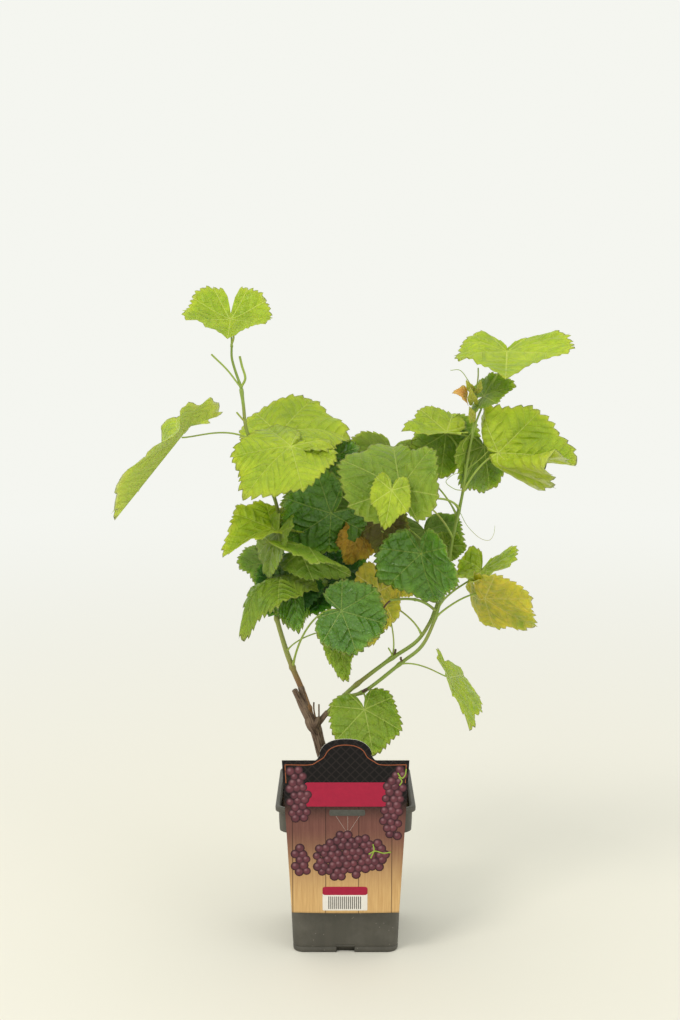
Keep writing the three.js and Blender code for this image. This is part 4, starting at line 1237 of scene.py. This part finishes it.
cardFaceMaterial = newMaterial("printed board, varnished", buildPrintedCard)
cardBackMaterial = plainPrint("bare board, calendered", "#e4e0d6", "#d3cec2", 0.003, 0.6)
makeMesh("card_board", [cardPart()], [cardFaceMaterial, cardBackMaterial], ["picture_card"])


def patch(left, right, low, high, corner, proud, sag=0.0):
    # A thin plate with round corners on the card: rounded rectangle over (angle, share), domed by proud
    steps = 12
    corners = []
    for turn, (cx, cy) in enumerate(((right, high), (left, high), (left, low), (right, low))):
        angle = math.pi / 2 * (turn + np.linspace(0, 1, steps))
        mx, my = cx + (-corner if cx == right else corner), cy + (-corner if cy == high else corner)
        corners.append(np.stack([mx + corner * np.cos(angle), my + corner * np.sin(angle)], 1))
    outline = np.concatenate(corners)
    middle = np.array([(left + right) / 2, (low + high) / 2])
    rings = []
    top = proud + 0.02
    for share, rise in ((1, -0.3), (1, proud), (0.97, top), (0.6, top), (0.25, top)):
        ring = middle + (outline - middle) * share
        ring[:, 1] += sag * (1 - ((ring[:, 0] - middle[0]) / (right - left) * 2) ** 2)
        rings.append(onCard(ring[:, 0], ring[:, 1], rise + cardBow(ring[:, 1])))
    n = len(outline)
    poles = [onCard(middle[0], middle[1] + sag, rise + cardBow(middle[1])) for rise in (-0.3, top)]
    points = np.concatenate([np.concatenate(rings), poles])
    faces = [gridFaces(len(rings), n), fanFaces(np.arange(n), len(points) - 2, turnedOver=True)]
    faces.append(fanFaces(np.arange(n) + (len(rings) - 1) * n, len(points) - 1))
    return outwards({"points": points, "faces": np.concatenate(faces)})


crimson = plainPrint("crimson ink, varnished", "#ad1c3e", "#981738")
white = plainPrint("white ink, varnished", "#efebe4", "#ded8cf")
slotGrey = plainPrint("pot plastic in the slot", "#5a5a54", "#41413c", 0.003, 0.5)
bands = [patch(-39, 40, 107.5, 131.5, 3, 0.12, 0.8), patch(-22, 21, 18, 26.5, 2.4, 0.14)]
makeMesh("card_band", bands, [crimson])
makeMesh("card_panel", [patch(-22, 21, 2, 20, 1, 0.08)], [white])
rules = [patch(a - 0.45, a + 0.45, 3.5, 16.5, 0.3, 0.1) for a in np.arange(-16, 15.5, 1.9)]
makeMesh("card_rules", rules, [plainPrint("grey ink, varnished", "#55524e", "#3c3a37")])
makeMesh("card_slot", [patch(-15.5, 18.5, 98.5, 104.5, 1.8, 0.16)], [slotGrey])


def ribbon(route, width, proud):
    # A thin flat line on the card: a low tube squashed on to its face
    path = smoothPath([(a, b, 0) for a, b in route], 60)
    made = tube(path, width / 2, 6)
    flat = made["points"]
    rise = proud + flat[:, 2] * 0.25
    made["points"] = onCard(flat[:, 0], flat[:, 1], rise + cardBow(flat[:, 1]))
    return outwards(made)


edgeLine = [(-57, 149), (-31, 149.5), (-27, 152)]
archAcross = np.linspace(-20.5, 20.5, 13)
archLine = [(a, 150.5 + 18 * math.sqrt(max(1 - abs(a / 21.5) ** 2.4, 0))) for a in archAcross]
borderLine = edgeLine + archLine + [(-a, b) for a, b in edgeLine[::-1]]
copper = plainPrint("copper ink, varnished", "#b0653f", "#7d4128", 0.01)
sideLines = [[(-57, 149), (-56.2, 131)], [(57, 149), (56.2, 131)]]
borders = [ribbon(line, 0.9, 0.05) for line in [borderLine] + sideLines]
makeMesh("card_border", borders, [copper])
foldLines = [[(-9, 98), (1, 82)], [(2, 98), (2, 82)], [(13, 98), (3, 82)]]
silver = plainPrint("worn fold, white board showing", "#b9aca2", "#8f8078", 0.002, 0.5)
makeMesh("card_folds", [ribbon(line, 0.35, 0.02) for line in foldLines], [silver])

bunches = {  # middle across and up, half width and half height, lean in degrees
    "main": (4, 56, 34, 25, 6),
    "right": (48, 109, 12, 44, -6),
    "left_top": (-49, 119, 14, 38, 6),
    "left_small": (-44, 54, 10, 18, 0),
}
berryRadius = 4.6


def berry(across, up, radius, order):
    # A printed berry as a low dome: rings at shares of its radius, with its own round map
    sides = 12
    angle = np.linspace(0, 2 * math.pi, sides, endpoint=False)
    rings, uv = [], []
    for share, rise in ((1, -0.25), (1, 0), (0.85, 0.16), (0.6, 0.26), (0.3, 0.32)):
        a, b = across + np.cos(angle) * radius * share, up + np.sin(angle) * radius * share
        rings.append(onCard(a, b, rise + order * 0.05 + cardBow(b)))
        uv.append(np.stack([np.cos(angle) * share, np.sin(angle) * share], 1) * 0.5 + 0.5)
    poles = [onCard(across, up, rise + order * 0.05 + cardBow(up)) for rise in (-0.25, 0.34)]
    points = np.concatenate([np.concatenate(rings), poles])
    faces = [gridFaces(5, sides), fanFaces(np.arange(sides), 5 * sides, turnedOver=True)]
    faces.append(fanFaces(np.arange(sides) + 4 * sides, 5 * sides + 1))
    part = {"points": points, "faces": np.concatenate(faces), "uv": np.concatenate(uv + [[[0.5, 0.5]] * 2])}
    return outwards(part)


def cardHalf(up):
    # Half the card's width at a height
    return card["bottomHalf"] + (card["topHalf"] - card["bottomHalf"]) * up / card["height"]


berries = []
drawBerry = np.random.default_rng(5)
pitch = berryRadius * 1.5
for cx, cy, halfWidth, halfHeight, tilt in bunches.values():
    for row in range(-9, 10):
        for column in range(-9, 10):
            a = (column + 0.5 * (row % 2)) * pitch + drawBerry.uniform(-0.9, 0.9)
            b = row * pitch * 0.86 + drawBerry.uniform(-0.9, 0.9)
            size = berryRadius * drawBerry.uniform(0.86, 1.06)
            order = drawBerry.integers(0, 4)
            if (a / halfWidth) ** 2 + (b / halfHeight) ** 2 > 1 or b < -0.72 * halfHeight:
                continue
            turned = math.radians(tilt)
            across = cx + a * math.cos(turned) - b * math.sin(turned)
            up = cy + a * math.sin(turned) + b * math.cos(turned)
            if abs(across) + size < cardHalf(up) - 0.3 and up < card["height"] - size - 3:
                berries.append(berry(across, up, size, order))


def buildBerryPrint(tree):
    # Printed dark red grapes: a lit middle and dark rims on each, bloom in patches, all under varnish
    berryMap = addNode(tree, "UVMap", uv_map="skin")
    place = addNode(tree, "TexCoord", out="Object")
    centred = addNode(tree, "VectorMath", berryMap, (0.5, 0.5, 0), operation="SUBTRACT")
    away = addNode(tree, "VectorMath", centred, operation="LENGTH", out="Value")
    lit = addNode(tree, "VectorMath", berryMap, (0.4, 0.66, 0), operation="DISTANCE", out="Value")
    tone = addNode(tree, "TexNoise", Vector=place, Scale=1 / 0.009, Detail=1.0)
    body = addNode(tree, "MixRGB", tone, hexColour("#45222e"), hexColour("#7a4149"))
    rim = addNode(tree, "MapRange", away, 0.22, 0.5, 0.0, 0.85, interpolation_type="SMOOTHSTEP")
    colour = addNode(tree, "MixRGB", rim, body, hexColour("#1c0d14"))
    glow = addNode(tree, "MapRange", lit, 0.0, 0.26, 0.5, 0.0, interpolation_type="SMOOTHSTEP")
    colour = addNode(tree, "MixRGB", glow, colour, hexColour("#a37f85"))
    return addNode(tree, "BsdfPrincipled", out="BSDF", Base_Color=colour, Roughness=0.4,
                   Specular_IOR_Level=0.25)


makeMesh("card_grapes", berries, [newMaterial("printed dark grapes, varnished", buildBerryPrint)])
sprigs = [
    [(22, 60), (28, 63), (36, 61), (43, 62)], [(24, 56), (27, 64), (26, 70)],
    [(49, 141), (53, 136), (56, 139), (57, 145)], [(50, 137), (53, 133), (51, 129)],
]
stalkInk = plainPrint("green ink, varnished", "#a9bf4d", "#7d9a35", 0.003)
makeMesh("card_sprigs", [ribbon(line, 1.3, 0.5) for line in sprigs], [stalkInk])
print("card: printed board with", len(berries), "berries")

bpy.context.view_layer.update()
